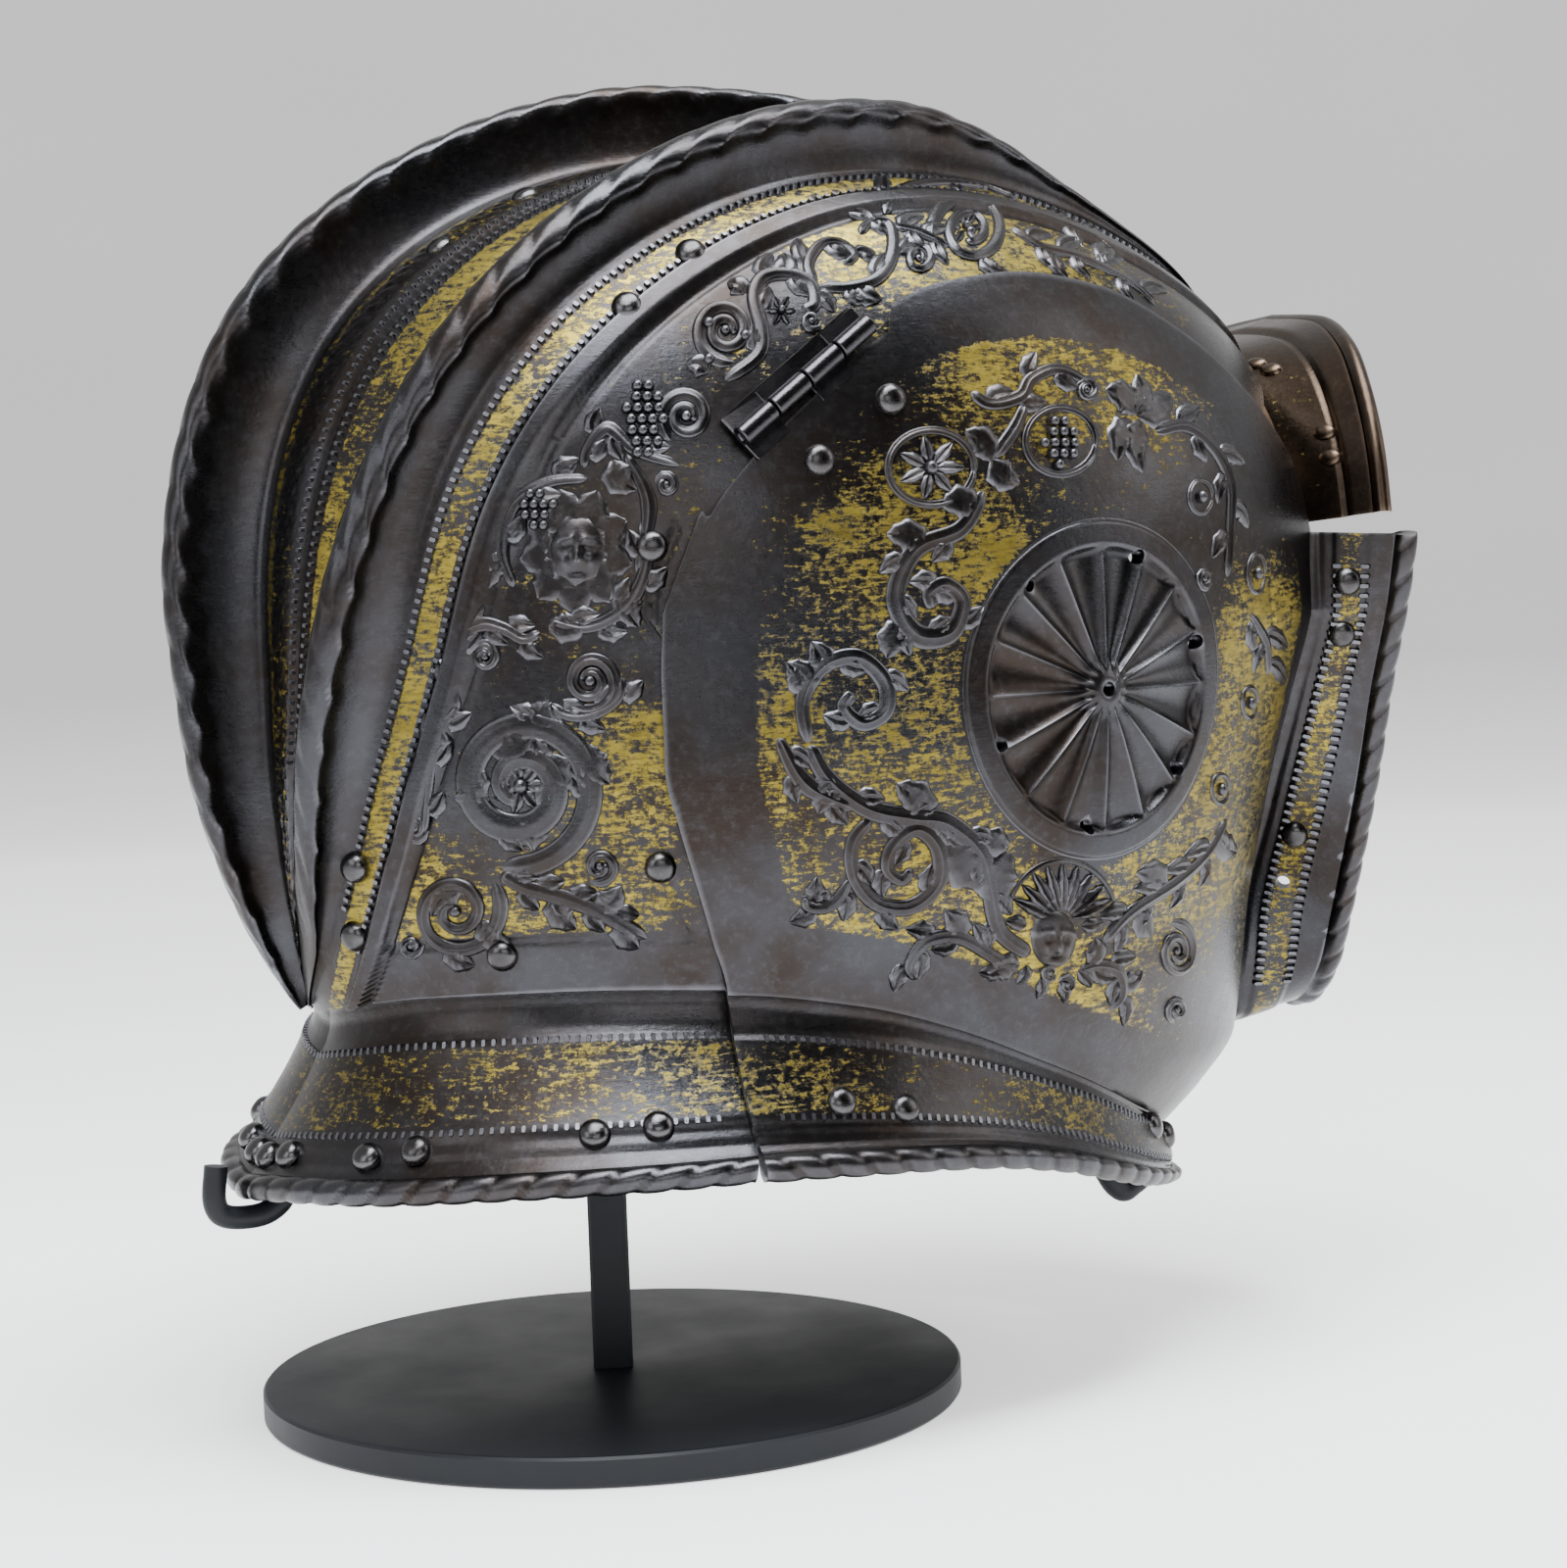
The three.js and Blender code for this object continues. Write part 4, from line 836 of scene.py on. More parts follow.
def build_skull():
    """Skull halves with their combs."""
    finish = old_steel("gilt_steel")
    rows = int(412 * sizes().detail)
    outer, gild = skull_lattice(rows)
    along = np.linspace(0.4, 179.6, 60)
    swing = np.linspace(0, 1, 24)[None] * skull_edge(along)[:, None]
    base = skull_base(along[:, None], swing)[0]
    inner = base - form_normal(base) * sizes().plate
    verts, faces = skin(outer, inner)
    gild = np.concatenate([gild.ravel(), np.zeros(inner.shape[0] * inner.shape[1])])
    both_sides("skull_shell", verts, faces, finish, ROOT,
               (("skull",), ("skull",)), gild)


def neck_height(turn):
    """Height of the neck fold at a turn from the front."""
    return NECK_Z + between(COLLAR, 1, np.degrees(turn))


def seam_angles(x):
    """Turns of the collar's seam at the neck fold and at the rim."""
    turn = math.radians(115)
    for _ in range(6):
        turn = float(turn_at(x, neck_height(turn)))
    return turn, math.acos((x - COLLAR_X) / COLLAR_REAR)


def collar_points(neck, rim, v, lift, rim_lift):
    """Middle of the collar's plate; angles past 180 degrees run on round the wearer's left."""
    flip = np.where(neck > math.pi, -1.0, 1.0)
    fold_n, fold_r = np.minimum(neck, 2 * math.pi - neck), np.minimum(rim, 2 * math.pi - rim)
    a = form_point(fold_n, neck_height(fold_n))
    c = np.cos(fold_r)
    b = np.stack([COLLAR_X + np.where(c > 0, COLLAR_FRONT, COLLAR_REAR) * c,
                  -COLLAR_HALF * np.sin(fold_r),
                  RIM_Z + between(COLLAR, 2, np.degrees(fold_r))], -1)
    n = form_normal(a)
    n[..., 2] = 0
    n = unit(n)
    rise = cheek_lift(a) - sizes().plate / 2 if lift is None else lift
    a = a + n * np.reshape(np.broadcast_to(rise, a.shape[:-1]), a.shape[:-1] + (1,))
    b = b + n * rim_lift
    flare = np.maximum(v, 0) ** 1.5
    p = a + (b - a) * np.stack([flare, flare, v * np.ones_like(flare)], -1)
    p[..., 1] *= flip
    return p


def collar_relief(v):
    """Swell of the collar's band between the neck fold and the roped rim."""
    return (0.7 * bump(v, 0.28, 0.74, 0.03) - 0.35 * bump(v, 0.86, 0.88, 0.02)
            - 0.5 * bump(v, 0.1, 0.18, 0.08))


def collar_gild(v):
    """Gilding left on the collar's band."""
    return 0.66 * bump(v, 0.3, 0.7, 0.03)


def collar_lattice(neck, rim, lift, rim_lift):
    """Middle lattice of the collar, its shares, the rim's line, and the rim's two directions."""
    v = np.linspace(0.9, 0, 44)
    grid = np.stack([collar_points(neck, rim, s, lift, rim_lift) for s in v], 1)
    rim_line = collar_points(neck, rim, 1.0, lift, rim_lift)
    tip = unit(rim_line - grid[:, 6])
    tang = unit(np.gradient(rim_line, axis=0))
    side = unit(np.cross(tang, tip))
    middle = rim_line.mean(0)
    if (side * (rim_line - middle)).sum() < 0:
        side = -side
    return grid, v, rim_line, tip, side


def build_neck_plate():
    """Rear of the flared collar with its roped rim."""
    finish = old_steel("gilt_steel")
    half = sizes().plate / 2
    neck, _ = seam_angles(SEAM_X + SEAM_LAP)
    _, rim = seam_angles(SEAM_X - 5 * GAP)
    u = np.linspace(0, 1, int(430 * sizes().detail))
    turn_n = neck + (2 * math.pi - 2 * neck) * u
    turn_r = rim + (2 * math.pi - 2 * rim) * u
    grid, v, line, tip, side = collar_lattice(turn_n, turn_r, -4.8, -0.6)
    top = grid[:, -1:] + np.array([0, 0, 6.0])
    grid = np.concatenate([grid, top], 1)
    v = np.append(v, -0.2)
    n = unit(np.cross(np.gradient(grid, axis=0), np.gradient(grid, axis=1)))
    if (n[:, 0] * side).sum() < 0:
        n = -n
    rope = rope_rows(line, tip, side, sizes().rope, arc_length(line), 1.6)
    outer = grid + n * (half + collar_relief(v))[None, :, None]
    inner = grid - n * half
    outer = np.concatenate([rope, outer], 1)
    gild = np.concatenate([np.zeros(rope.shape[1]), collar_gild(v)])
    gild = np.broadcast_to(gild, outer.shape[:2])
    inner = inner[::4, ::3]
    verts, faces = skin(outer, inner)
    gild = np.concatenate([gild.ravel(), np.zeros(inner.shape[0] * inner.shape[1])])
    add_piece("neck_plate_shell", verts, faces, finish, "helmet",
              ("neck_plate",), gild)


def hinge_dip(x):
    """How far the cheek's edge stands back from the hinge barrel."""
    return 5.2 * ramp(x, -4.5, -2.5) * (1 - ramp(x, 46.5, 48.5))


def cheek_grid(u, v):
    """Places of a cheekpiece on the head form, and the share of its height."""
    u, v = np.meshgrid(u, v, indexing="ij")
    low_rear = NECK_Z + between(COLLAR, 1, 118)
    zr = low_rear + (CHEEK_TOP[0, 1] - low_rear) * v
    zf = 59 + (221 - 59) * v
    p = None
    for _ in range(6):
        rear = turn_at(between(CHEEK_REAR, 1, zr), zr)
        front = turn_at(CREASE_X, zf)
        turn = rear + (front - rear) * u
        low = neck_height(turn)
        guess = form_point(turn, p[..., 2] if p is not None else zr + (zf - zr) * u)
        high = between(CHEEK_TOP, 1, guess[..., 0]) - hinge_dip(guess[..., 0])
        p = form_point(turn, low + (high - low) * v)
        end_low = neck_height(turn_at(CREASE_X, zf))
        zf = end_low + (221 - end_low) * v
    return p


def near_path(p, pixels, lift):
    """Distance of each point from a line drawn on the form."""
    line, _ = on_form(smooth_line(pixels, 90), lift)
    flat = p.reshape(-1, 3)
    best = np.full(len(flat), 1e9)
    for a, b in zip(line[:-1], line[1:]):
        ab = b - a
        t = np.clip(((flat - a) @ ab) / max(ab @ ab, 1e-9), 0, 1)
        best = np.minimum(best, np.linalg.norm(flat - a - t[:, None] * ab, axis=1))
    return best.reshape(p.shape[:-1])


def rosette_frame():
    """Middle of the rosette and the directions out of it and across it."""
    hub = form_point(turn_at(ROSETTE_X, ROSETTE_Z), ROSETTE_Z)
    out = form_normal(hub)
    ax = unit(np.cross([0, 0, 1.0], out))
    ay = unit(np.cross(out, ax))
    return hub, out, ax, ay


def rosette_holes():
    """Rods for the small holes of a rosette."""
    hub, out, ax, ay = rosette_frame()
    far = HOLE_RING * sizes().rosette
    places = [hub]
    for a in np.radians(HOLE_ANGLES):
        places.append(hub + far * (math.cos(a) * ax + math.sin(a) * ay))
    return [(p - out * 2, out, HOLE_RADIUS, 16) for p in places]


def cheek_relief(p):
    """Height and gilding over a cheekpiece's plain face."""
    hub, _, ax, ay = rosette_frame()
    away = np.hypot((p - hub) @ ax, (p - hub) @ ay)
    big = sizes().rosette
    border = near_path(p, CHEEK_BORDER, cheek_lift)
    foot = near_path(p, CHEEK_FOOT, cheek_lift)
    height = -0.65 * line(np.minimum(border, foot), 0.0)
    height = height - 2.6 * (1 - ramp(away, big - 6, big - 1.5))
    turn = turn_at(p[..., 0], p[..., 2])
    up = p[..., 2] - neck_height(turn)
    top = between(CHEEK_TOP, 1, p[..., 0]) - p[..., 2]
    rear = p[..., 0] - between(CHEEK_REAR, 1, p[..., 2])
    inside = ramp(up, 16, 19) * ramp(top, 14, 17) * ramp(rear, 18, 22)
    inside = inside * (1 - ramp(p[..., 0], 177, 183)) * ramp(away, big, big + 1)
    return height, inside * spots(p, CHEEK_GOLD, 0.47)


def build_cheeks():
    """Cheekpieces, each with its half of the collar."""
    finish = old_steel("gilt_steel")
    half = sizes().plate / 2
    neck, rim = seam_angles(SEAM_X)
    u = np.linspace(0, 1, int(250 * sizes().detail))
    turn_n, turn_r = neck * (1 - u), rim * (1 - u)
    grid, v, line, tip, side = collar_lattice(turn_n, turn_r, None, 0.8)
    body_v = np.linspace(0, 1, int(215 * sizes().detail))[1:]
    place = cheek_grid(u, body_v)
    lift = cheek_lift(place)
    normal = form_normal(place)
    relief, gild_body = cheek_relief(place)
    n = unit(np.cross(np.gradient(grid, axis=0), np.gradient(grid, axis=1)))
    if (n[:, 0] * side).sum() < 0:
        n = -n
    blend = ramp(v, 0.25, 0.0)[None, :, None]
    n = unit(n * (1 - blend) + form_normal(grid) * blend)
    rope = rope_rows(line, tip, side, sizes().rope, arc_length(line), 1.6)
    outer = np.concatenate([rope, grid + n * (half + collar_relief(v))[None, :, None],
                            place + normal * (lift + relief)[..., None]], 1)
    back = lift - 2 * half + np.minimum(relief, 0)
    inner = np.concatenate([grid - n * half, place + normal * back[..., None]], 1)
    gild = np.concatenate([np.zeros(rope.shape[:2]),
                           np.broadcast_to(collar_gild(v), grid.shape[:2]), gild_body], 1)
    inner = inner[::5, ::4]
    outer[..., 1] = np.minimum(outer[..., 1], -GAP)
    inner[..., 1] = np.minimum(inner[..., 1], -GAP)
    verts, faces = skin(outer, inner)
    gild = np.concatenate([gild.ravel(), np.zeros(inner.shape[0] * inner.shape[1])])
    verts, faces, gild = drill(verts, faces, rosette_holes(), gild)
    both_sides("cheek_plate", verts, faces, finish, CHEEKS,
               (("cheek_right",), ("cheek_left",)), gild)


def crease_point(z):
    """Where the face flange leaves the cheekpiece."""
    p = form_point(turn_at(CREASE_X, z), z)
    return p + form_normal(p) * (cheek_lift(p) - sizes().plate / 2)[..., None]


def flange_lattice(rows, across):
    """Root and roped edge of the face flange, and the lattice between them."""
    z = np.linspace(79, 221, rows)
    root = crease_point(z)
    rope = np.stack([between(FLANGE, 1, z), -between(FLANGE, 2, z), between(FLANGE, 3, z)], -1)
    return root, rope, root[:, None] + (rope - root)[:, None] * across[None, :, None]


def build_flanges():
    """Upright flanges round the face opening."""
    finish = old_steel("gilt_steel")
    half = sizes().plate / 2
    across = np.linspace(0.9, -0.02, 36)
    root, rope, grid = flange_lattice(int(260 * sizes().detail), across)
    tip = unit(rope - root)
    tang = unit(np.gradient(rope, axis=0))
    side = unit(np.cross(tang, tip))
    side = side * np.sign((side @ np.array([0.2, -1.0, 0])).sum())
    n = unit(np.cross(np.gradient(grid, axis=0), np.gradient(grid, axis=1)))
    if (n[:, 0] * side).sum() < 0:
        n = -n
    relief = 0.7 * bump(across, 0.3, 0.6, 0.04) - 0.4 * bump(across, 0.1, 0.14, 0.03)
    bead = rope_rows(rope, tip, side, sizes().rope * 0.92, arc_length(rope), 1.6)
    outer = np.concatenate([bead, grid + n * (half + relief)[None, :, None]], 1)
    inner = (grid - n * half)[::4, ::3]
    gild = np.concatenate([np.zeros(bead.shape[1]), 0.74 * bump(across, 0.33, 0.57, 0.03)])
    gild = np.broadcast_to(gild, outer.shape[:2])
    outer[..., 1] = np.minimum(outer[..., 1], -GAP)
    inner[..., 1] = np.minimum(inner[..., 1], -GAP)
    verts, faces = skin(outer, inner)
    gild = np.concatenate([gild.ravel(), np.zeros(inner.shape[0] * inner.shape[1])])
    z = FLANGE_HOLE_Z
    at = crease_point(np.array([z]))[0]
    rope_at = np.array([between(FLANGE, 1, z), -between(FLANGE, 2, z), z])
    at = at + FLANGE_HOLE_SHARE * (rope_at - at)
    verts, faces, gild = drill(verts, faces, [(at, n[len(n) // 3, 18], HOLE_RADIUS, 6)], gild)
    both_sides("face_flange", verts, faces, finish, CHEEKS,
               (("cheek_right",), ("cheek_left",)), gild)


def build_rosettes():
    """Fluted discs set in the cheekpieces."""
    finish = old_steel("plain_steel", gilded=False)
    hub, out, ax, ay = rosette_frame()
    big = sizes().rosette
    r = np.concatenate([[0.6], np.linspace(1.4, 7, 9), np.linspace(7.8, big - 7, 30),
                        np.linspace(big - 6.5, big + 0.6, 14)])
    angle = np.linspace(0, 2 * math.pi, 304, endpoint=False)
    rr, aa = np.meshgrid(r, angle, indexing="ij")
    p = hub + (rr * np.cos(aa))[..., None] * ax + (rr * np.sin(aa))[..., None] * ay
    for _ in range(3):
        p = p - out * (form_value(p) / ((form_value(p + out) - form_value(p - out)) / 2))[..., None]
    n = form_normal(p)
    phase = aa * sizes().flutes / (2 * math.pi)
    t = np.abs(2 * (phase - np.floor(phase)) - 1)
    scoop = (1 - t ** 2.2) ** 0.9
    field = ramp(rr, 4.2, 8) * (1 - ramp(rr, big - 7.4, big - 6.2))
    depth = 2.7 * field * scoop * (0.45 + 0.55 * rr / big)
    ring = 0.55 * bump(rr, big - 5.6, big - 0.6, 0.7)
    boss = 0.5 * bump(rr, 1.9, 3.6, 0.7)
    height = cheek_lift(p) + ring + boss - depth
    top = p + n * height[..., None]
    low = p + n * (cheek_lift(p) - 4.4)[..., None]
    last = len(r) - 1
    bag = Bag()
    verts = np.concatenate([top.reshape(-1, 3), low[last], low[0]])
    m = len(angle)
    index = np.arange(top.shape[0] * m).reshape(-1, m)
    outer_low = np.arange(m) + index.size
    inner_low = outer_low + m
    faces = quads(index, ring=True)
    faces += quads(np.stack([index[last], outer_low]), ring=True)
    faces += quads(np.stack([outer_low, inner_low]), ring=True)
    faces += quads(np.stack([inner_low, index[0]]), ring=True)
    bag.add(verts, faces)
    v, f, _ = bag.parts()
    v, f, _ = drill(v, f, rosette_holes())
    both_sides("rosette", v, f, finish, CHEEKS)


def build_peak():
    """Small brow peak with a rolled edge and its rivets."""
    finish = old_steel("brown_steel", base=tuple(colours().patina), bloom=(0.03, 0.021, 0.016))
    half = sizes().plate / 2
    bead = 0.8 * sizes().rope
    turn = np.linspace(-PEAK_ROUND, PEAK_ROUND, 240)
    side = np.sign(turn)
    r = np.abs(turn)

    def brow(x, depth):
        d = np.stack([np.zeros_like(turn), np.sin(np.radians(turn)), np.cos(np.radians(turn))], -1)
        at = np.array([x, 0, PEAK_Z])
        lo, hi = np.full(len(turn), 5.0), np.full(len(turn), 130.0)
        for _ in range(26):
            m = (lo + hi) / 2
            deep = form_value(at + d * m[:, None]) < 0
            lo, hi = np.where(deep, m, lo), np.where(deep, hi, m)
        p = at + d * lo[:, None]
        return p - form_normal(p) * depth
    tuck = brow(PEAK_ROOT_X - PEAK_TUCK, 3.4 * sizes().plate)
    root = brow(PEAK_ROOT_X, 2.2 * sizes().plate)
    edge = np.stack([between(PEAK, 1, r), side * between(PEAK, 2, r), between(PEAK, 3, r)], -1)
    share = np.linspace(0, 0.92, 40)
    grid = np.concatenate([tuck[:, None], root[:, None]
                           + (edge - root)[:, None] * share[None, :, None]], 1)
    n = unit(np.cross(np.gradient(grid, axis=0), np.gradient(grid, axis=1)))
    up = np.array([0.3, 0, 1.0])
    if (n[120, 20] @ up) < 0:
        n = -n
    share = np.insert(share, 0, -0.3)
    relief = 0.9 * ramp(share, 0.62, 0.7) - 0.5 * bump(share, 0.6, 0.62, 0.03)
    tip = unit(edge - root)
    tang = unit(np.gradient(edge, axis=0))
    out = unit(np.cross(tang, tip))
    if (out * n[:, -1]).sum() < 0:
        out = -out
    rim = rope_rows(edge, tip, out, bead, arc_length(edge) * 0, 0.0, root=half)
    rim = rim[:, ::-1]
    outer = np.concatenate([grid + n * (half + relief)[None, :, None], rim], 1)
    inner = (grid - n * half)[::6, ::4]
    gild = np.concatenate([0.5 * bump(share, 0.05, 0.5, 0.1), np.zeros(rim.shape[1])])
    gild = np.broadcast_to(gild, outer.shape[:2])
    verts, faces = skin(outer, inner)
    gild = np.concatenate([gild.ravel(), np.zeros(inner.shape[0] * inner.shape[1])])
    add_piece("peak_plate", verts, faces, finish, "helmet", ("peak",), gild)
    bag = Bag()
    face = (grid + n * (half + relief)[None, :, None])[:, 4:]
    seen = pixel_of(face)
    for x, y in ((1252, 371), (1282, 372), (1297, 378), (1352, 441), (1357, 467)):
        far = np.hypot(seen[..., 0] - x, seen[..., 1] - y) + (face[..., 1] > 0) * 1e4
        i, j = np.unravel_index(far.argmin(), far.shape)
        for flip in (1, -1):
            mirror = np.array([1, flip, 1])
            dome(bag, face[i, j] * mirror, n[i, j + 4] * mirror, 2.3, 1.5, 14, 5, 1.5)
    v, f, _ = bag.parts()
    add_piece("peak_rivets", v, f, finish, "helmet", gild=np.zeros(len(v)))


# Small raised work

def on_skull(p):
    """Work on the skull lies on the head form itself."""
    return np.zeros(p.shape[:-1])


def stroke(bag, pixels, widths, lift, height=1.0, kind="stem", gild=0.3):
    """Raised stem or leaf along a line of photo pixels; widths in millimetres."""
    pixels = np.asarray(pixels, float)
    long = np.linalg.norm(np.diff(pixels, axis=0), axis=1).sum()
    count = int(np.clip(long / (4.0 if kind == "stem" else 3.0), 9, 110))
    p, n = on_form(smooth_line(pixels, count), lift)
    t = np.linspace(0, 1, count)
    if kind == "leaf":
        where = arc_length(p)
        keep = np.linspace(0, min(where[-1], 3.2 * widths[0]), count)
        p, n = (np.stack([np.interp(keep, where, v[:, i]) for i in range(3)], -1) for v in (p, n))
    along = unit(np.gradient(p, axis=0))
    side = unit(np.cross(n, along))
    if kind == "stem":
        half = np.interp(t, np.linspace(0, 1, len(widths)), widths) / 2
        body = np.minimum(1, np.sqrt(np.maximum(np.minimum(t, 1 - t) * long / 9, 0.02)))
        half, top = half * body, body * np.interp(t, [0, 0.5, 1], [0.8, 1, 0.9])
    else:
        shape = np.sin(np.pi * np.clip(t, 0.01, 0.99) ** 0.8) ** 0.75
        half = widths[0] / 2 * (0.06 + shape * (1 - 0.24 * np.abs(np.sin(3.5 * np.pi * t))))
        top = 0.2 + 0.8 * np.sin(np.pi * np.clip(t, 0.02, 0.98)) ** 0.5
    angle = np.linspace(0, math.pi, 11 if kind == "stem" else 9)
    y, z = np.cos(angle), np.sin(angle) ** 0.8
    if kind == "stem":
        z = z * (1 - 0.3 * np.exp(-((np.abs(y) - 0.42) / 0.16) ** 2))
        z = np.broadcast_to(z, (count, len(y)))
    else:
        vein = 0.16 * np.cos(2 * np.pi * (5 * t[:, None] + 0.9 * np.abs(y)[None])) * np.abs(y)
        z = z * (1 - 0.42 * np.exp(-(y / 0.2) ** 2)) + vein * z
    rise = sizes().relief * height * top[:, None] * z - 0.4
    rings = p[:, None] + side[:, None] * (half[:, None] * y)[..., None]
    rings = rings + n[:, None] * rise[..., None]
    bag.tube(rings, gild)


def curl(centre, outer, inner, start, turns, wide=1.0):
    """Pixels of a spiral; angles in degrees run clockwise in the picture."""
    t = np.linspace(0, 1, max(10, int(abs(turns) * 22)))
    a = np.radians(start + 360 * turns * t)
    r = outer + (inner - outer) * t ** 0.8
    return np.stack([centre[0] + wide * r * np.cos(a), centre[1] + r * np.sin(a)], -1)


def drop(bag, at, radius, lift, height=None, squash=1.0, gild=0.2):
    """Single round berry or boss at a pixel."""
    p, n = on_form(np.array([at], float), lift)
    dome(bag, p[0], n[0], radius, height or radius * 0.95, 14, 5, squash, gild=gild)


def grapes(bag, centre, rx, ry, radius, lift):
    """Bunch of round berries, tapering downwards."""
    step = radius * 7.2
    rows = int(2 * ry / step)
    for i in range(rows + 1):
        v = -1 + 2 * i / max(rows, 1)
        half = rx * math.sqrt(max(0.05, 1 - (0.75 * v) ** 2)) * (1 - 0.3 * max(v, 0))
        k = max(1, int(2 * half / step))
        for j in range(k):
            x = centre[0] + (j - (k - 1) / 2) * step + (0.2 * step if i % 2 else -0.2 * step)
            drop(bag, (x, centre[1] + v * ry), radius, lift, radius * 1.25)


def flower(bag, centre, r, petals, lift, wide=0.9, width=None, turn=0.0, core=True):
    """Petals round a middle."""
    for k in range(petals):
        a = math.radians(turn + 360 * k / petals)
        out = np.array([wide * math.cos(a), math.sin(a)])
        stroke(bag, [centre + out * r * 0.18, centre + out * r * 0.6, centre + out * r],
               [width or r * 0.2], lift, 0.9, "leaf")
    if core:
        drop(bag, centre, max(1.1, r * 0.055), lift, 2.0)


def ring(bag, centre, rx, ry, width, lift, height=0.8):
    """Raised oval ring."""
    t = np.radians(np.linspace(0, 372, 34))
    stroke(bag, np.stack([centre[0] + rx * np.cos(t), centre[1] + ry * np.sin(t)], -1),
           [width, width], lift, height)


STEM_SHARE, LEAF_SHARE = 1.8, 1.95


def scroll(bag, path, widths, lift, leaves=0, size=5.5, hand=1, height=1.1):
    """Stem with small leaves set along it."""
    stroke(bag, path, [STEM_SHARE * w for w in widths], lift, height)
    path = smooth_line(path, 60)
    leaves += 2 if leaves else 0
    for k in range(leaves):
        i = int(5 + 48 * (k + 0.5) / leaves)
        d = path[i + 3] - path[i - 3]
        d = d / max(np.linalg.norm(d), 1e-6)
        turn = hand * (1 if k % 2 else -1)
        off = np.array([-d[1], d[0]]) * turn
        tip = path[i] + (d * 0.85 + off * 0.65) * size * 5.6
        mid = path[i] + (d * 0.3 + off * 0.6) * size * 3.3
        stroke(bag, [path[i], mid, tip], [size * 1.3], lift, 1.0, "leaf")


def mask(bag, centre, rx, ry, lift, height=2.4):
    """Plain grotesque face in relief."""
    r = np.linspace(1, 0.06, 13)
    a = np.linspace(0, 2 * math.pi, 36, endpoint=False)
    rr, aa = np.meshgrid(r, a, indexing="ij")
    x, y = rr * np.cos(aa), rr * np.sin(aa)
    p, n = on_form(np.stack([centre[0] + rx * x, centre[1] + ry * y], -1).reshape(-1, 2), lift)
    p, n = p.reshape(x.shape + (3,)), n.reshape(x.shape + (3,))
    ax = np.abs(x)
    h = height * np.clip(1 - rr ** 2, 0, 1) ** 0.6
    h += 1.1 * np.exp(-(x / 0.15) ** 2) * ramp(y, -0.3, 0.25) * (1 - ramp(y, 0.28, 0.42))
    h -= 1.0 * np.exp(-((ax - 0.36) / 0.17) ** 2 - ((y + 0.1) / 0.13) ** 2)
    h += 0.8 * np.exp(-((ax - 0.36) / 0.09) ** 2 - ((y + 0.1) / 0.08) ** 2)
    h += 0.6 * np.exp(-((y + 0.34 - 0.2 * ax) / 0.1) ** 2) * ramp(ax, 0.05, 0.2)
    h -= 0.8 * np.exp(-((y - 0.6) / 0.07) ** 2) * (1 - ramp(ax, 0.25, 0.4))
    h += 0.5 * np.exp(-((ax - 0.45) / 0.2) ** 2 - ((y - 0.3) / 0.2) ** 2)
    bag.tube(p + n * (h - 0.4)[..., None], 0.15)


# Scrollwork in photo pixels: widths in millimetres, leaves set along the stem, side, path
SKULL_STEMS = [
    ((2.0, 2.6, 2.4), 5, 1, [(510, 892), (535, 905), (570, 915), (610, 930), (660, 958)]),
    ((1.4, 2.0, 1.6), 3, -1, [(432, 852), (437, 800), (445, 750), (468, 718)]),
    ((1.8, 2.2, 1.4), 4, 1, [(466, 730), (462, 690), (472, 650), (492, 637), (515, 642),
                             (535, 652), (552, 645)]),
    ((1.4, 2.0, 1.6), 2, 1, [(560, 718), (580, 730), (606, 728), (630, 712), (635, 690)]),
    ((1.2, 2.2, 1.4), 2, -1, [(595, 478), (600, 458), (620, 437), (650, 460), (695, 475)]),
    ((1.2, 2.4, 1.2), 0, 1, [(638, 462), (662, 515), (650, 585)]),
    ((2.0, 2.4, 2.0), 3, 1, [(738, 389), (773, 363), (777, 337), (770, 303), (780, 283),
                             (807, 280), (827, 290), (831, 310), (818, 318)]),
    ((1.8, 1.8, 1.2), 1, 1, [(833, 293), (825, 270), (837, 250), (857, 248), (872, 261),
                             (860, 271)]),
    ((1.8, 2.2, 1.4), 3, -1, [(833, 293), (867, 293), (897, 283), (911, 257), (907, 230),
                              (887, 228), (877, 240)]),
    ((1.4, 2.0, 1.6), 2, 1, [(907, 230), (937, 237), (970, 253)]),
    ((1.8, 2.2, 1.4), 3, 1, [(903, 217), (913, 197), (947, 187), (997, 190), (1040, 205)]),
    ((2.0, 2.2, 1.2), 5, 1, [(1030, 232), (1063, 252), (1100, 262), (1153, 288), (1180, 312)]),
    ((1.4, 1.8, 1.2), 2, 1, [(1060, 215), (1100, 232), (1140, 262)]),
]
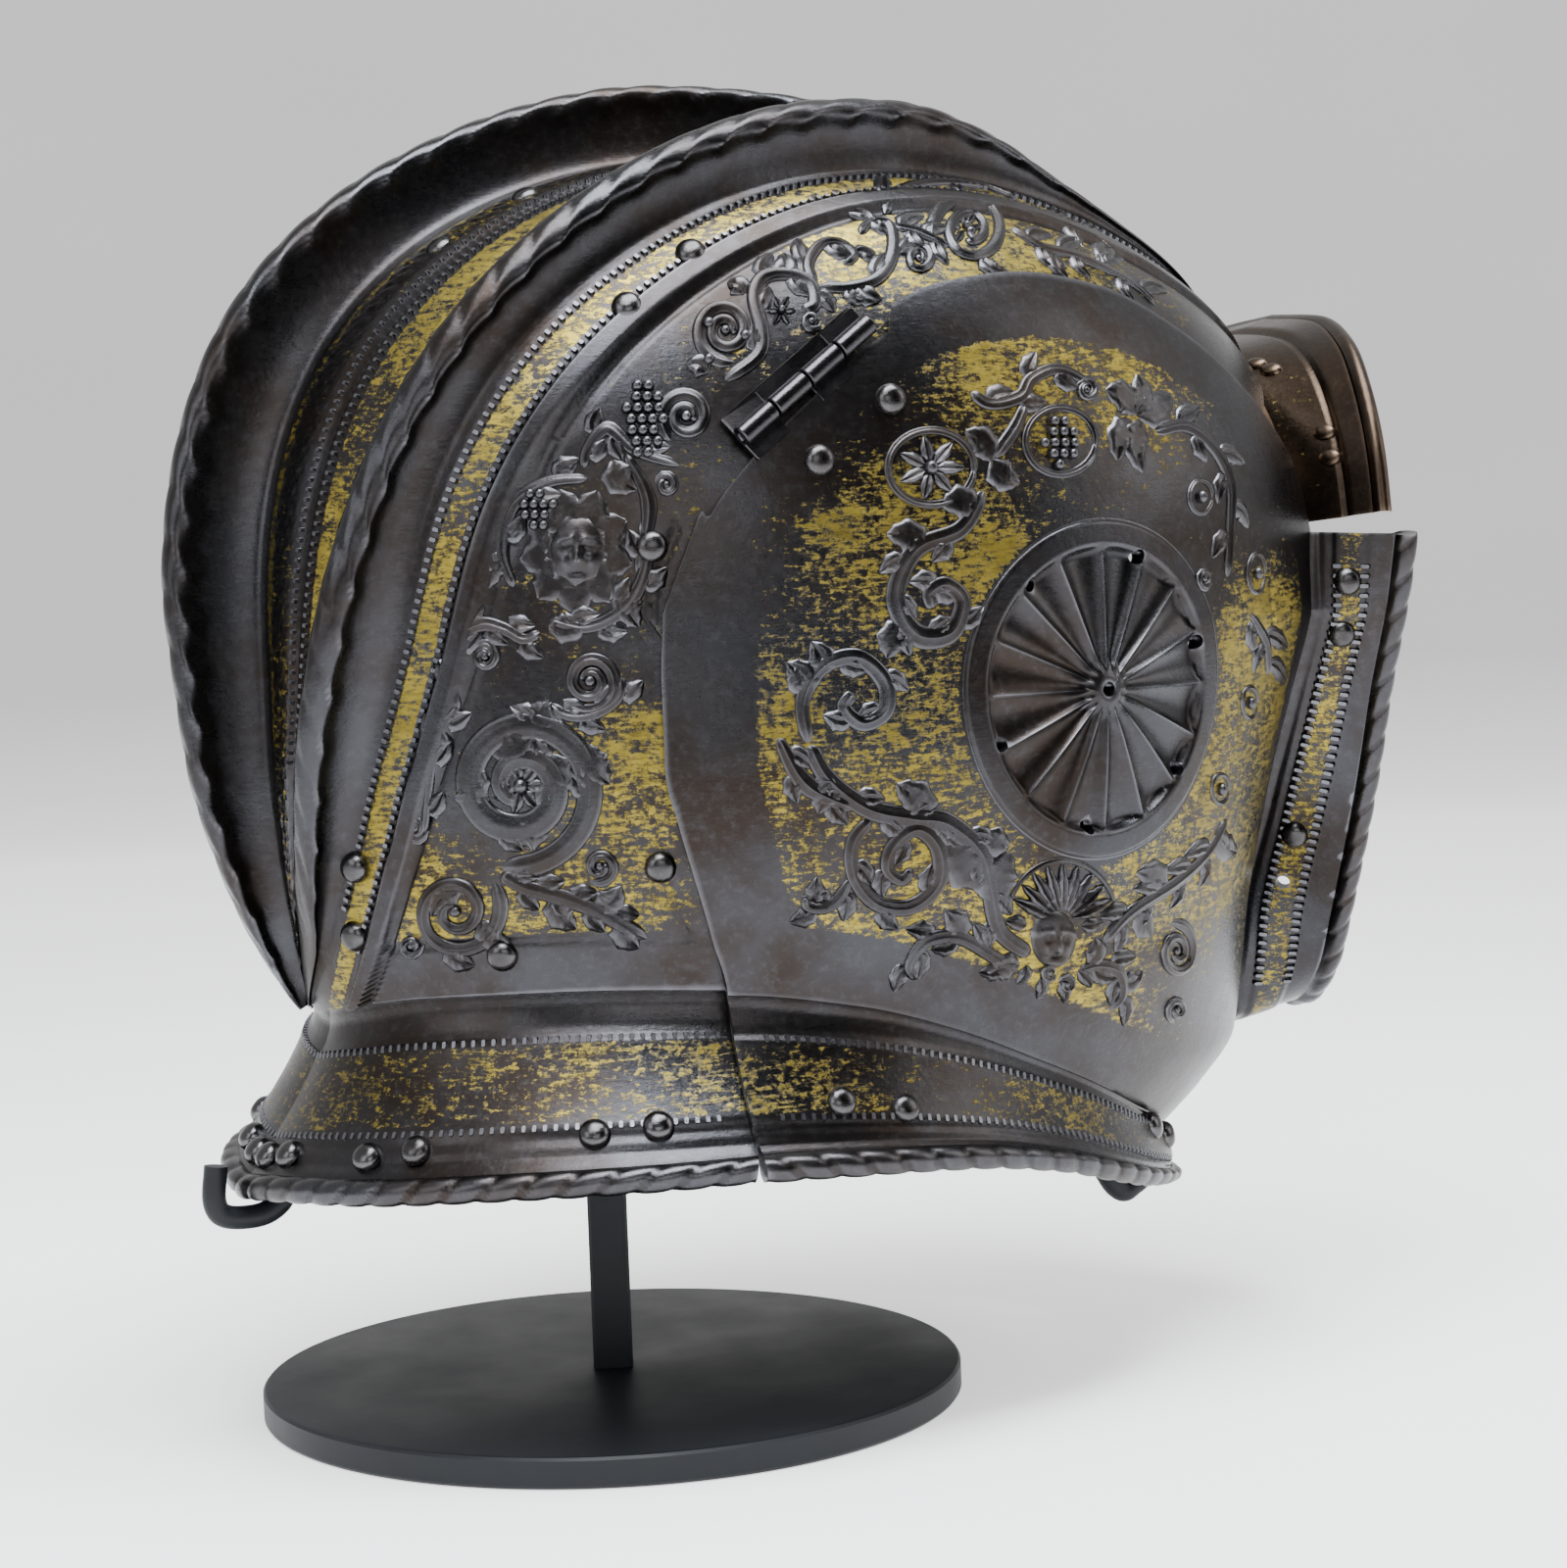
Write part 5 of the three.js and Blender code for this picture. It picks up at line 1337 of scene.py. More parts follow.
SKULL_CURLS = [
    ((531, 802), 86, 14, 104, -2.0, 1.0, (3.4, 4.4, 2.2)),
    ((465, 930), 50, 8, -40, 1.9, 1.0, (2.4, 1.6)),
    ((420, 965), 12, 3, 0, 1.3, 1.0, (1.4, 1.0)), ((612, 884), 19, 4, 130, -1.5, 1.0, (1.6, 1.2)),
    ((425, 845), 15, 4, 10, 1.4, 0.8, (1.6, 1.2)), ((495, 670), 16, 4, 200, 1.5, 0.9, (1.6, 1.2)),
    ((602, 695), 34, 6, 140, -1.9, 0.95, (2.2, 1.4)),
    ((700, 425), 30, 6, 120, 1.8, 0.95, (2.2, 1.4)),
    ((680, 495), 13, 4, 180, 1.3, 0.9, (1.5, 1.1)), ((740, 337), 34, 7, 70, 1.9, 0.95, (2.2, 1.4)),
    ((828, 328), 11, 3, 0, 1.2, 1.0, (1.4, 1.0)), ((937, 264), 16, 4, 260, 1.5, 1.0, (1.6, 1.1)),
    ((990, 236), 42, 9, 160, 1.9, 1.0, (2.2, 1.5)),
]
SKULL_LEAVES = [
    ((470, 905), (440, 935), 4.5), ((490, 940), (520, 965), 4.5), ((455, 965), (485, 985), 4.0),
    ((565, 915), (588, 948), 4.5), ((605, 928), (634, 905), 4.5), ((632, 940), (652, 968), 4.0),
    ((500, 765), (545, 745), 5.5), ((560, 770), (590, 800), 5.5), ((560, 850), (520, 858), 5.5),
    ((480, 830), (470, 790), 5.5), ((540, 720), (575, 735), 5.0), ((600, 760), (622, 800), 5.0),
    ((450, 770), (432, 738), 4.0), ((560, 640), (600, 628), 4.5), ((795, 285), (800, 258), 4.0),
    ((723, 380), (700, 372), 4.0), ((760, 300), (742, 288), 4.0), ((875, 290), (900, 306), 4.0),
    ((1000, 262), (1030, 280), 4.0), ((1075, 258), (1090, 285), 4.0),
    ((1120, 268), (1128, 244), 4.0),
    ((625, 470), (650, 500), 5.0), ((515, 560), (498, 600), 5.0), ((640, 600), (652, 640), 4.5),
]
CHEEK_STEMS = [
    ((2.4, 3.4, 2.0), 6, 1, [(1005, 500), (980, 540), (935, 560), (915, 600), (920, 630),
                             (940, 650), (970, 645), (982, 615), (965, 597), (948, 606),
                             (953, 622)]),
    ((1.8, 2.2, 1.6), 2, 1, [(990, 400), (1010, 412), (1040, 405), (1052, 387), (1080, 377),
                             (1115, 393)]),
    ((2.0, 2.2, 1.8), 0, 1, [(1013, 468), (1035, 437), (1046, 412)]),
    ((2.0, 2.4, 1.6), 4, 1, [(1178, 440), (1210, 435), (1240, 460), (1255, 495), (1255, 540),
                             (1252, 590)]),
    ((1.4, 2.0, 1.4), 2, -1, [(1275, 625), (1291, 655), (1294, 690)]),
    ((1.8, 2.6, 2.0), 7, 1, [(1252, 835), (1232, 870), (1200, 900), (1152, 932), (1125, 962)]),
    ((2.0, 2.8, 2.0), 3, 1, [(825, 760), (819, 715), (840, 680), (875, 671), (902, 695),
                             (903, 725), (880, 738), (861, 722), (872, 706)]),
    ((2.4, 3.4, 2.4), 7, -1, [(825, 760), (845, 795), (885, 825), (930, 835), (965, 840),
                              (1000, 870), (1010, 910), (1020, 950), (1052, 975)]),
    ((1.6, 3.0, 1.8), 2, 1, [(793, 752), (822, 800), (872, 826)]),
    ((2.0, 2.8, 1.6), 4, 1, [(890, 835), (870, 860), (872, 895), (895, 922), (930, 925),
                             (957, 900), (957, 865), (935, 846), (911, 864), (905, 886),
                             (919, 898), (931, 886)]),
    ((1.6, 2.2, 1.4), 2, 1, [(870, 895), (850, 922), (826, 925), (822, 914)]),
    ((1.8, 2.4, 1.4), 4, 1, [(1040, 985), (1020, 980), (980, 957), (946, 960), (928, 985),
                             (936, 1000)]),
    ((1.6, 2.2, 1.4), 2, -1, [(1100, 990), (1120, 985), (1141, 991), (1145, 1015), (1130, 1032)]),
]
CHEEK_CURLS = [
    ((1200, 970), 30, 7, 250, 1.7, 0.72, (2.0, 1.2)),
    ((1200, 1030), 14, 4, 90, 1.3, 0.8, (1.5, 1.1)),
    ((1070, 992), 9, 3, 0, 1.2, 1.0, (1.4, 1.0)), ((1088, 1004), 9, 3, 180, 1.2, 1.0, (1.4, 1.0)),
    ((1108, 398), 13, 4, 180, 1.4, 0.9, (1.5, 1.1)), ((1228, 590), 12, 4, 0, 1.3, 0.7, (1.4, 1.0)),
]
CHEEK_LEAVES = [
    ((825, 710), (803, 676), 5.0), ((838, 690), (828, 655), 4.5), ((945, 840), (915, 800), 5.5),
    ((970, 848), (1012, 905), 6.5), ((1005, 850), (1030, 862), 5.0),
    ((1030, 870), (1022, 932), 6.5),
    ((1000, 520), (960, 515), 5.0), ((945, 560), (905, 545), 5.0), ((925, 640), (905, 672), 5.0),
    ((1012, 470), (985, 440), 5.0), ((1012, 470), (1040, 492), 5.0),
    ((1160, 422), (1128, 398), 5.5),
    ((1160, 422), (1160, 382), 5.5), ((1160, 422), (1195, 402), 5.5),
    ((1155, 430), (1140, 470), 5.0),
    ((1165, 430), (1166, 482), 5.0), ((1040, 985), (1005, 1000), 4.5),
    ((980, 960), (965, 930), 4.5),
    ((1110, 985), (1118, 958), 4.5), ((1145, 1005), (1165, 990), 4.0),
    ((1240, 850), (1262, 870), 4.5),
    ((1190, 905), (1160, 890), 5.0), ((1165, 925), (1175, 955), 4.5), ((860, 800), (835, 830), 5.0),
]


def build_skull_scrolls():
    """Scrolls, flowers, grapes and a mask on the skull."""
    bag = Bag()
    for widths, leaves, hand, path in SKULL_STEMS:
        scroll(bag, path, widths, on_skull, leaves, 4.6, hand)
    for centre, outer, inner, start, turns, wide, widths in SKULL_CURLS:
        path = curl(centre, outer, inner, start, turns, wide)
        scroll(bag, path, widths, on_skull, 5 if outer > 60 else 0, 5.0, 1, 1.15)
        drop(bag, centre, 0.9 + outer * 0.012, on_skull)
    for base, tip, width in SKULL_LEAVES:
        mid = (np.array(base) + tip) / 2 + np.array([base[1] - tip[1], tip[0] - base[0]]) * 0.14
        stroke(bag, [base, mid, tip], [LEAF_SHARE * width], on_skull, 1.05, "leaf")
    flower(bag, np.array((797.0, 317.0)), 17, 6, on_skull, 0.9, 2.2)
    flower(bag, np.array((531.0, 802.0)), 30, 7, on_skull, 1.0, 4.4)
    flower(bag, np.array((985.0, 232.0)), 20, 6, on_skull, 1.1, 2.6)
    flower(bag, np.array((588.0, 562.0)), 66, 9, on_skull, 0.88, 13.0, 12, False)
    mask(bag, (590, 562), 30, 38, on_skull, 2.6)
    for arc in ([(524, 600), (512, 560), (524, 515), (560, 492), (600, 488)],
                [(560, 632), (600, 640), (640, 618), (660, 575), (655, 530)]):
        scroll(bag, arc, (1.4, 2.2, 1.4), on_skull, 3, 5.0)
    grapes(bag, (548, 520), 22, 16, 1.35, on_skull)
    grapes(bag, (658, 428), 24, 34, 1.5, on_skull)
    for at in ((723, 330), (760, 343), (723, 367), (700, 425), (602, 695)):
        drop(bag, at, 1.5, on_skull, 1.8)
    v, f, g = bag.parts()
    both_sides("skull_scrolls", v, f, old_steel("gilt_steel"), ROOT, gild=g)


def build_cheek_scrolls():
    """Scrolls, round bosses, a fan of leaves and a mask on the cheekpieces."""
    bag = Bag()
    for widths, leaves, hand, path in CHEEK_STEMS:
        scroll(bag, path, widths, cheek_lift, leaves, 4.8, hand)
    for centre, outer, inner, start, turns, wide, widths in CHEEK_CURLS:
        scroll(bag, curl(centre, outer, inner, start, turns, wide), widths, cheek_lift)
        drop(bag, centre, 1.1, cheek_lift)
    for base, tip, width in CHEEK_LEAVES:
        mid = (np.array(base) + tip) / 2 + np.array([base[1] - tip[1], tip[0] - base[0]]) * 0.14
        stroke(bag, [base, mid, tip], [LEAF_SHARE * width], cheek_lift, 1.05, "leaf")
    ring(bag, (950, 477), 44, 38, 2.2, cheek_lift)
    flower(bag, np.array((950.0, 477.0)), 33, 7, cheek_lift, 1.05, 4.2)
    ring(bag, (1082, 450), 36, 34, 2.2, cheek_lift)
    grapes(bag, (1082, 452), 21, 22, 1.4, cheek_lift)
    for x, y, rx, ry in ((1225, 507, 12, 17), (1282, 585, 9, 20), (1275, 717, 8, 16),
                         (1245, 805, 9, 15)):
        ring(bag, (x, y), rx, ry, 1.5, cheek_lift)
        drop(bag, (x, y), 1.7, cheek_lift, 2.0, 0.8)
    for k in range(9):
        a = math.radians(-158 + 17 * k)
        c = np.array([1084.0, 940.0])
        out = np.array([0.9 * math.cos(a), math.sin(a)])
        stroke(bag, [c + out * 12, c + out * 36, c + out * 60], [4.4], cheek_lift, 1.25, "leaf")
    arc = [(1084 + 56 * math.cos(math.radians(a)), 940 + 62 * math.sin(math.radians(a)))
           for a in range(-165, -14, 10)]
    stroke(bag, arc, [1.4, 1.8, 1.4], cheek_lift, 0.8)
    mask(bag, (1075, 958), 24, 31, cheek_lift, 2.3)
    for x, y, a in ((1048, 985, 120), (1062, 998, 100), (1082, 1002, 80), (1100, 990, 55),
                    (1047, 945, 195), (1104, 945, -10)):
        tip = (x + 22 * math.cos(math.radians(a)), y + 22 * math.sin(math.radians(a)))
        mid = ((x + tip[0]) / 2 + 3, (y + tip[1]) / 2)
        stroke(bag, [(x, y), mid, tip], [5.0], cheek_lift, 1.0, "leaf")
    v, f, g = bag.parts()
    both_sides("cheek_scrolls", v, f, old_steel("gilt_steel"), CHEEKS, gild=g)


def studs(bag, points, normals, pitch, along, across, height, gild=0.3, slant=0.0):
    """Row of small raised nicks along a line on a surface."""
    where = arc_length(points)
    at = np.arange(pitch, where[-1] - pitch / 2, pitch)
    p = np.stack([np.interp(at, where, points[:, i]) for i in range(3)], -1)
    n = unit(np.stack([np.interp(at, where, normals[:, i]) for i in range(3)], -1))
    ahead = np.stack([np.interp(at + 0.5, where, points[:, i]) for i in range(3)], -1)
    t = unit(ahead - p)
    s = unit(np.cross(n, t))
    t = unit(t + s * slant)
    ring = np.array([(-1, -0.7), (-0.6, -1), (0.6, -1), (1, -0.7), (1, 0.7), (0.6, 1), (-0.6, 1),
                     (-1, 0.7)])
    for i in range(len(at)):
        flat = (t[i] * ring[:, :1] * along + s[i] * ring[:, 1:] * across) / 2
        rows = [p[i] + n[i] * h + flat * k for k, h in ((1.0, -0.4), (0.66, height))]
        bag.tube(np.array(rows), gild)


def skull_line(off=None, share=None, ends=(6, 172)):
    """Line along the skull at an offset from the side comb, or at a share of the trough."""
    along = np.linspace(*ends, 260)
    swing = between(COMBS, 3, along)
    at = swing.copy()
    for _ in range(4):
        base, _, _ = skull_base(along, at)
        real = np.linalg.norm(np.cross(base - MIDDLE, ALONG_AXIS), axis=-1)
        if share is None:
            at = swing + np.degrees(off / np.maximum(real, 5))
        else:
            foot = np.minimum(COMB_FOOT, 0.44 * ring_of(along) * np.radians(swing))
            inner = np.radians(swing) * real - foot
            at = np.degrees((foot + share * (inner - foot)) / np.maximum(real, 5))
    base, _, _ = skull_base(along, at)
    return base, form_normal(base)


def build_nicks():
    """Rows of small nicks and beads beside the bands."""
    finish = old_steel("gilt_steel")
    bag = Bag()
    for off, ends in ((8.2, (14, 166)), (15.6, (12, 168))):
        p, n = skull_line(off, None, ends)
        studs(bag, p, n, NICK_PITCH, 1.5, 1.9 if off > 10 else 2.3, 0.95)
    for share, ends in ((0.54, (24, 150)), (0.93, (24, 150)), (0.4, (24, 150))):
        p, n = skull_line(None, share, ends)
        studs(bag, p, n, NICK_PITCH, 1.5, 1.7, 0.85)
    v, f, g = bag.parts()
    both_sides("skull_nicks", v, f, finish, ROOT, gild=g)
    neck, rim = seam_angles(SEAM_X)
    u = np.linspace(0.0, 0.97, 240)
    bag = Bag()
    for v, span in ((0.27, (0.02, 0.8)), (0.73, (0.02, 0.72))):
        k = (u > span[0]) & (u < span[1])
        grid = np.stack([collar_points(neck * (1 - u[k]), rim * (1 - u[k]), w, None, 0.8)
                         for w in (v - 0.01, v, v + 0.01)], 1)
        n = outward_normals(grid)[:, 1]
        studs(bag, grid[:, 1] + n * sizes().plate / 2, n, WIDE_NICK_PITCH, 1.5, 2.6, 0.9)
    z = np.linspace(92, 214, 160)
    for share in (0.31, 0.6):
        root = crease_point(z)
        rope = np.stack([between(FLANGE, 1, z), -between(FLANGE, 2, z), between(FLANGE, 3, z)], -1)
        grid = np.stack([root + (rope - root) * w for w in (share - 0.02, share, share + 0.02)], 1)
        n = outward_normals(grid, True)[:, 1]
        studs(bag, grid[:, 1] + n * (sizes().plate / 2 + 0.2), n, WIDE_NICK_PITCH, 1.5, 3.4, 1.1)
    v, f, g = bag.parts()
    both_sides("cheek_nicks", v, f, finish, CHEEKS, gild=g)
    neck, _ = seam_angles(SEAM_X + SEAM_LAP)
    _, rim = seam_angles(SEAM_X - 5 * GAP)
    bag = Bag()
    for v in (0.27, 0.73):
        u = np.linspace(0.02, 0.98, 500)
        grid = np.stack([collar_points(neck + (2 * math.pi - 2 * neck) * u,
                                       rim + (2 * math.pi - 2 * rim) * u, w, -4.8, -0.6)
                         for w in (v - 0.01, v, v + 0.01)], 1)
        n = outward_normals(grid)[:, 1]
        studs(bag, grid[:, 1] + n * sizes().plate / 2, n, WIDE_NICK_PITCH, 1.5, 2.6, 0.9)
    v, f, g = bag.parts()
    add_piece("neck_nicks", v, f, finish, "helmet", gild=g)


def outward_normals(grid, flange=False):
    """Normals of a lattice turned to the side that is seen."""
    n = unit(np.cross(np.gradient(grid, axis=0), np.gradient(grid, axis=1)))
    away = grid - np.array([80.0, 0, 0])
    away[..., 2] = 0
    if flange:
        away = np.array([0, -1.0, 0])
    return n if (n * away).sum() > 0 else -n


def dome(bag, at, normal, radius, height, sides=16, rings=5, squash=1.0, toward=None, gild=0.0):
    """Round head on a surface."""
    normal = unit(normal)
    toward = np.array([0, 0, 1.0]) if toward is None else toward
    a = unit(np.cross(toward, normal))
    b = np.cross(normal, a)
    angle = np.linspace(0, 2 * math.pi, sides, endpoint=False)
    rows = []
    for k in range(rings):
        e = k / rings * math.pi / 2
        rows.append(at + normal * (height * math.sin(e) - (0.3 if k == 0 else 0))
                    + radius * math.cos(e) ** 0.8 * (np.outer(np.cos(angle), a) * squash
                                                     + np.outer(np.sin(angle), b)))
    top = at + normal * height
    verts = np.concatenate([*rows, [top], [at - normal * 0.3]])
    index = np.arange(rings * sides).reshape(rings, sides)
    faces = quads(index, ring=True)
    for j in range(sides):
        k = (j + 1) % sides
        faces.append((int(index[-1, j]), int(index[-1, k]), rings * sides))
        faces.append((int(index[0, k]), int(index[0, j]), rings * sides + 1))
    bag.add(verts, faces, gild)


def build_rivets():
    """Domed heads seated on the places of the frame's rivets."""
    finish = old_steel("polished_rivets", gilded=False, base=(0.062, 0.06, 0.062),
                       bloom=(0.035, 0.032, 0.031), polish=0.06)
    for body in frame["bodies"]:
        names = sorted(n for n, b in rivet_bodies().items() if b == body)
        if not names:
            continue
        bag = Bag()
        for name in names:
            co = np.array([v.co for v in frame["nodes"][name].data.vertices]) * 1000
            centre = co.mean(0)
            _, _, axes = np.linalg.svd(co - centre)
            axis = axes[2]
            out = (co - centre) @ axis
            wide = np.linalg.norm(co - centre - out[:, None] * axis, axis=1)
            if wide[out > out.max() - 0.4].mean() > wide[out < out.min() + 0.4].mean():
                axis = -axis
            base = centre - axis * ((centre - co) @ axis).max()
            dome(bag, base, axis, sizes().rivet, 2.9, 24, 8)
        v, f, _ = bag.parts()
        add_piece("rivets_" + body, v, f, finish, body, names)


def rivet_bodies():
    """The body that each rivet of the frame rides on."""
    found = {}
    for body, names in frame["record"]["behaviour"]["bodies"].items():
        for name in names:
            if name.startswith("rivet_"):
                found[name] = body
    return found


# Hinges

def hinge_frame():
    """Middle of the hinge, its axis, and the directions out of it and down from it."""
    low = form_point(turn_at(*HINGE_LOW), HINGE_LOW[1])
    high = form_point(turn_at(*HINGE_HIGH), HINGE_HIGH[1])
    out = form_normal((low + high) / 2)
    low, high = low + out * HINGE_STAND_OFF, high + out * HINGE_STAND_OFF
    axis = unit(high - low)
    down = unit(np.cross(axis, out))
    if down[2] > 0:
        down = -down
    return (low + high) / 2, axis, out, down


def build_hinges():
    """Knuckled strap hinges with their pins."""
    finish = old_steel("black_hinge", gilded=False, base=(0.026, 0.025, 0.027),
                       bloom=(0.016, 0.014, 0.013), polish=0.06)
    mid, axis, out, down = hinge_frame()
    length, barrel = KNUCKLE_LONG, BARREL

    def knuckle(bag, s):
        t = np.array([-0.5, -0.485, -0.46, 0.46, 0.485, 0.5]) * length
        r = np.array([0.8, 0.92, 1.0, 1.0, 0.92, 0.8]) * barrel
        angle = np.linspace(0, 2 * math.pi, 28, endpoint=False)
        ring = np.cos(angle)[:, None] * out + np.sin(angle)[:, None] * down
        rows = (mid + axis * (s + t)[:, None])[:, None] + r[:, None, None] * ring[None]
        bag.tube(rows)

    def leaf(bag, s, toward, reach, wide, rise):
        c = mid + axis * s + down * toward * reach / 2 + out * (-barrel + rise)
        a, b = axis * wide / 2, down * reach / 2
        ring = [(-1, -0.94), (-0.97, -1), (0.97, -1), (1, -0.94), (1, 0.94), (0.97, 1),
                (-0.97, 1), (-1, 0.94)]
        rows = [[c + a * x * k + b * y * k + out * h for x, y in ring]
                for k, h in ((1, -0.7), (1, 0.45), (0.97, 0.7))]
        bag.tube(np.array(rows))
    spots = [k * (length + GAP) for k in (-1.5, -0.5, 0.5, 1.5)]
    fixed, swung, pin = Bag(), Bag(), Bag()
    for k in (1, 3):
        knuckle(fixed, spots[k])
        leaf(fixed, spots[k], -1, 6.0, length, 0.6)
    leaf(fixed, 0, -1, 6.6, 4 * length + GAP, 0.0)
    for k in (0, 2):
        knuckle(swung, spots[k])
        leaf(swung, spots[k], 1, 6.6, length, 0.9)
    angle = np.linspace(0, 2 * math.pi, 14, endpoint=False)
    ring = np.cos(angle)[:, None] * out + np.sin(angle)[:, None] * down
    ends = np.array([-1, -0.985, 0.985, 1]) * (2 * (length + GAP) + 0.6)
    pin.tube((mid + axis * ends[:, None])[:, None] + ring[None]
             * np.array([1.0, 1.3, 1.3, 1.0])[:, None, None])
    for name, bag, bodies, nodes in (
            ("hinge_leaf", fixed, ROOT, (("hinge_right",), ("hinge_left",))),
            ("hinge_knuckles", swung, CHEEKS, ((), ())),
            ("hinge_pin", pin, ROOT, (("hinge_pin_right",), ("hinge_pin_left",)))):
        v, f, _ = bag.parts()
        both_sides(name + "_steel", v, f, finish, bodies, nodes, sharp=35)


# Stand

def build_stand():
    """Foot, post, bar and hook ends of the display stand."""
    paint = black_paint()
    big = sizes().foot
    top = FOOT_TALL
    profile = [(0.5, top), (big - 1.4, top), (big - 0.6, top - 0.2), (big, top - 0.9), (big, 0.9),
               (big - 0.5, 0.2), (big - 1.4, 0.0), (0.5, 0.0)]
    angle = np.linspace(0, 2 * math.pi, 180, endpoint=False)
    rows = np.array([[(r * math.cos(a), r * math.sin(a), z) for a in angle] for r, z in profile])
    bag = Bag()
    bag.tube(rows)
    v, f, _ = bag.parts()
    add_piece("stand_foot", v, f, paint, "helmet", ("stand_base",), sharp=30)
    bag = Bag()
    half = POST_HALF
    a = math.radians(CAMERA_TURN[0])
    ax, ay = np.array([math.cos(a), math.sin(a), 0]), np.array([-math.sin(a), math.cos(a), 0])
    ring = [(-1, -0.86), (-0.86, -1), (0.86, -1), (1, -0.86), (1, 0.86), (0.86, 1), (-0.86, 1),
            (-1, 0.86)]
    bag.tube(np.array([[ax * x * half + ay * y * half + np.array([0, 0, z]) for x, y in ring]
                       for z in (FOOT_TALL + 0.2, BAR_Z)]))
    rear, front = BAR_REAR, COLLAR_X + COLLAR_FRONT
    rear_z, front_z = RIM_Z - 9, RIM_Z - 30
    reach = sizes().rope + HOOK_GAP
    path = [(rear - reach - 0.6, 0, rear_z + 6), (rear - reach - 1.4, 0, rear_z - 3),
            (rear - 5.0, 0, rear_z - reach - 0.6), (rear + 3.5, 0, rear_z - reach - 1.2),
            (rear + reach + 2.6, 0, rear_z - 5), (rear + reach + 7, 0, rear_z + 1),
            (rear + 32, 0, rear_z + 0.5), (-20, 0, BAR_Z), (30, 0, BAR_Z), (front - 40, 0, BAR_Z),
            (front - reach - 12, 0, BAR_Z), (front - 4, 0, front_z - reach - 1.4),
            (front + 3, 0, front_z - reach - 1.6), (front + reach + 3, 0, front_z - 2),
            (front + reach + 3.2, 0, front_z + 1.5)]
    line = smooth_line(path, 160)
    tang = unit(np.gradient(line, axis=0))
    side = np.array([0, 1.0, 0])
    up = unit(np.cross(tang, side))
    angle = np.linspace(0, 2 * math.pi, 20, endpoint=False)
    ring = BAR_RADIUS * (np.cos(angle)[:, None, None] * side + np.sin(angle)[:, None, None] * up)
    bag.tube(line[:, None] + ring.transpose(1, 0, 2))
    v, f, _ = bag.parts()
    add_piece("stand_frame", v, f, paint, "helmet", ("stand_post",), sharp=40)


# Stage

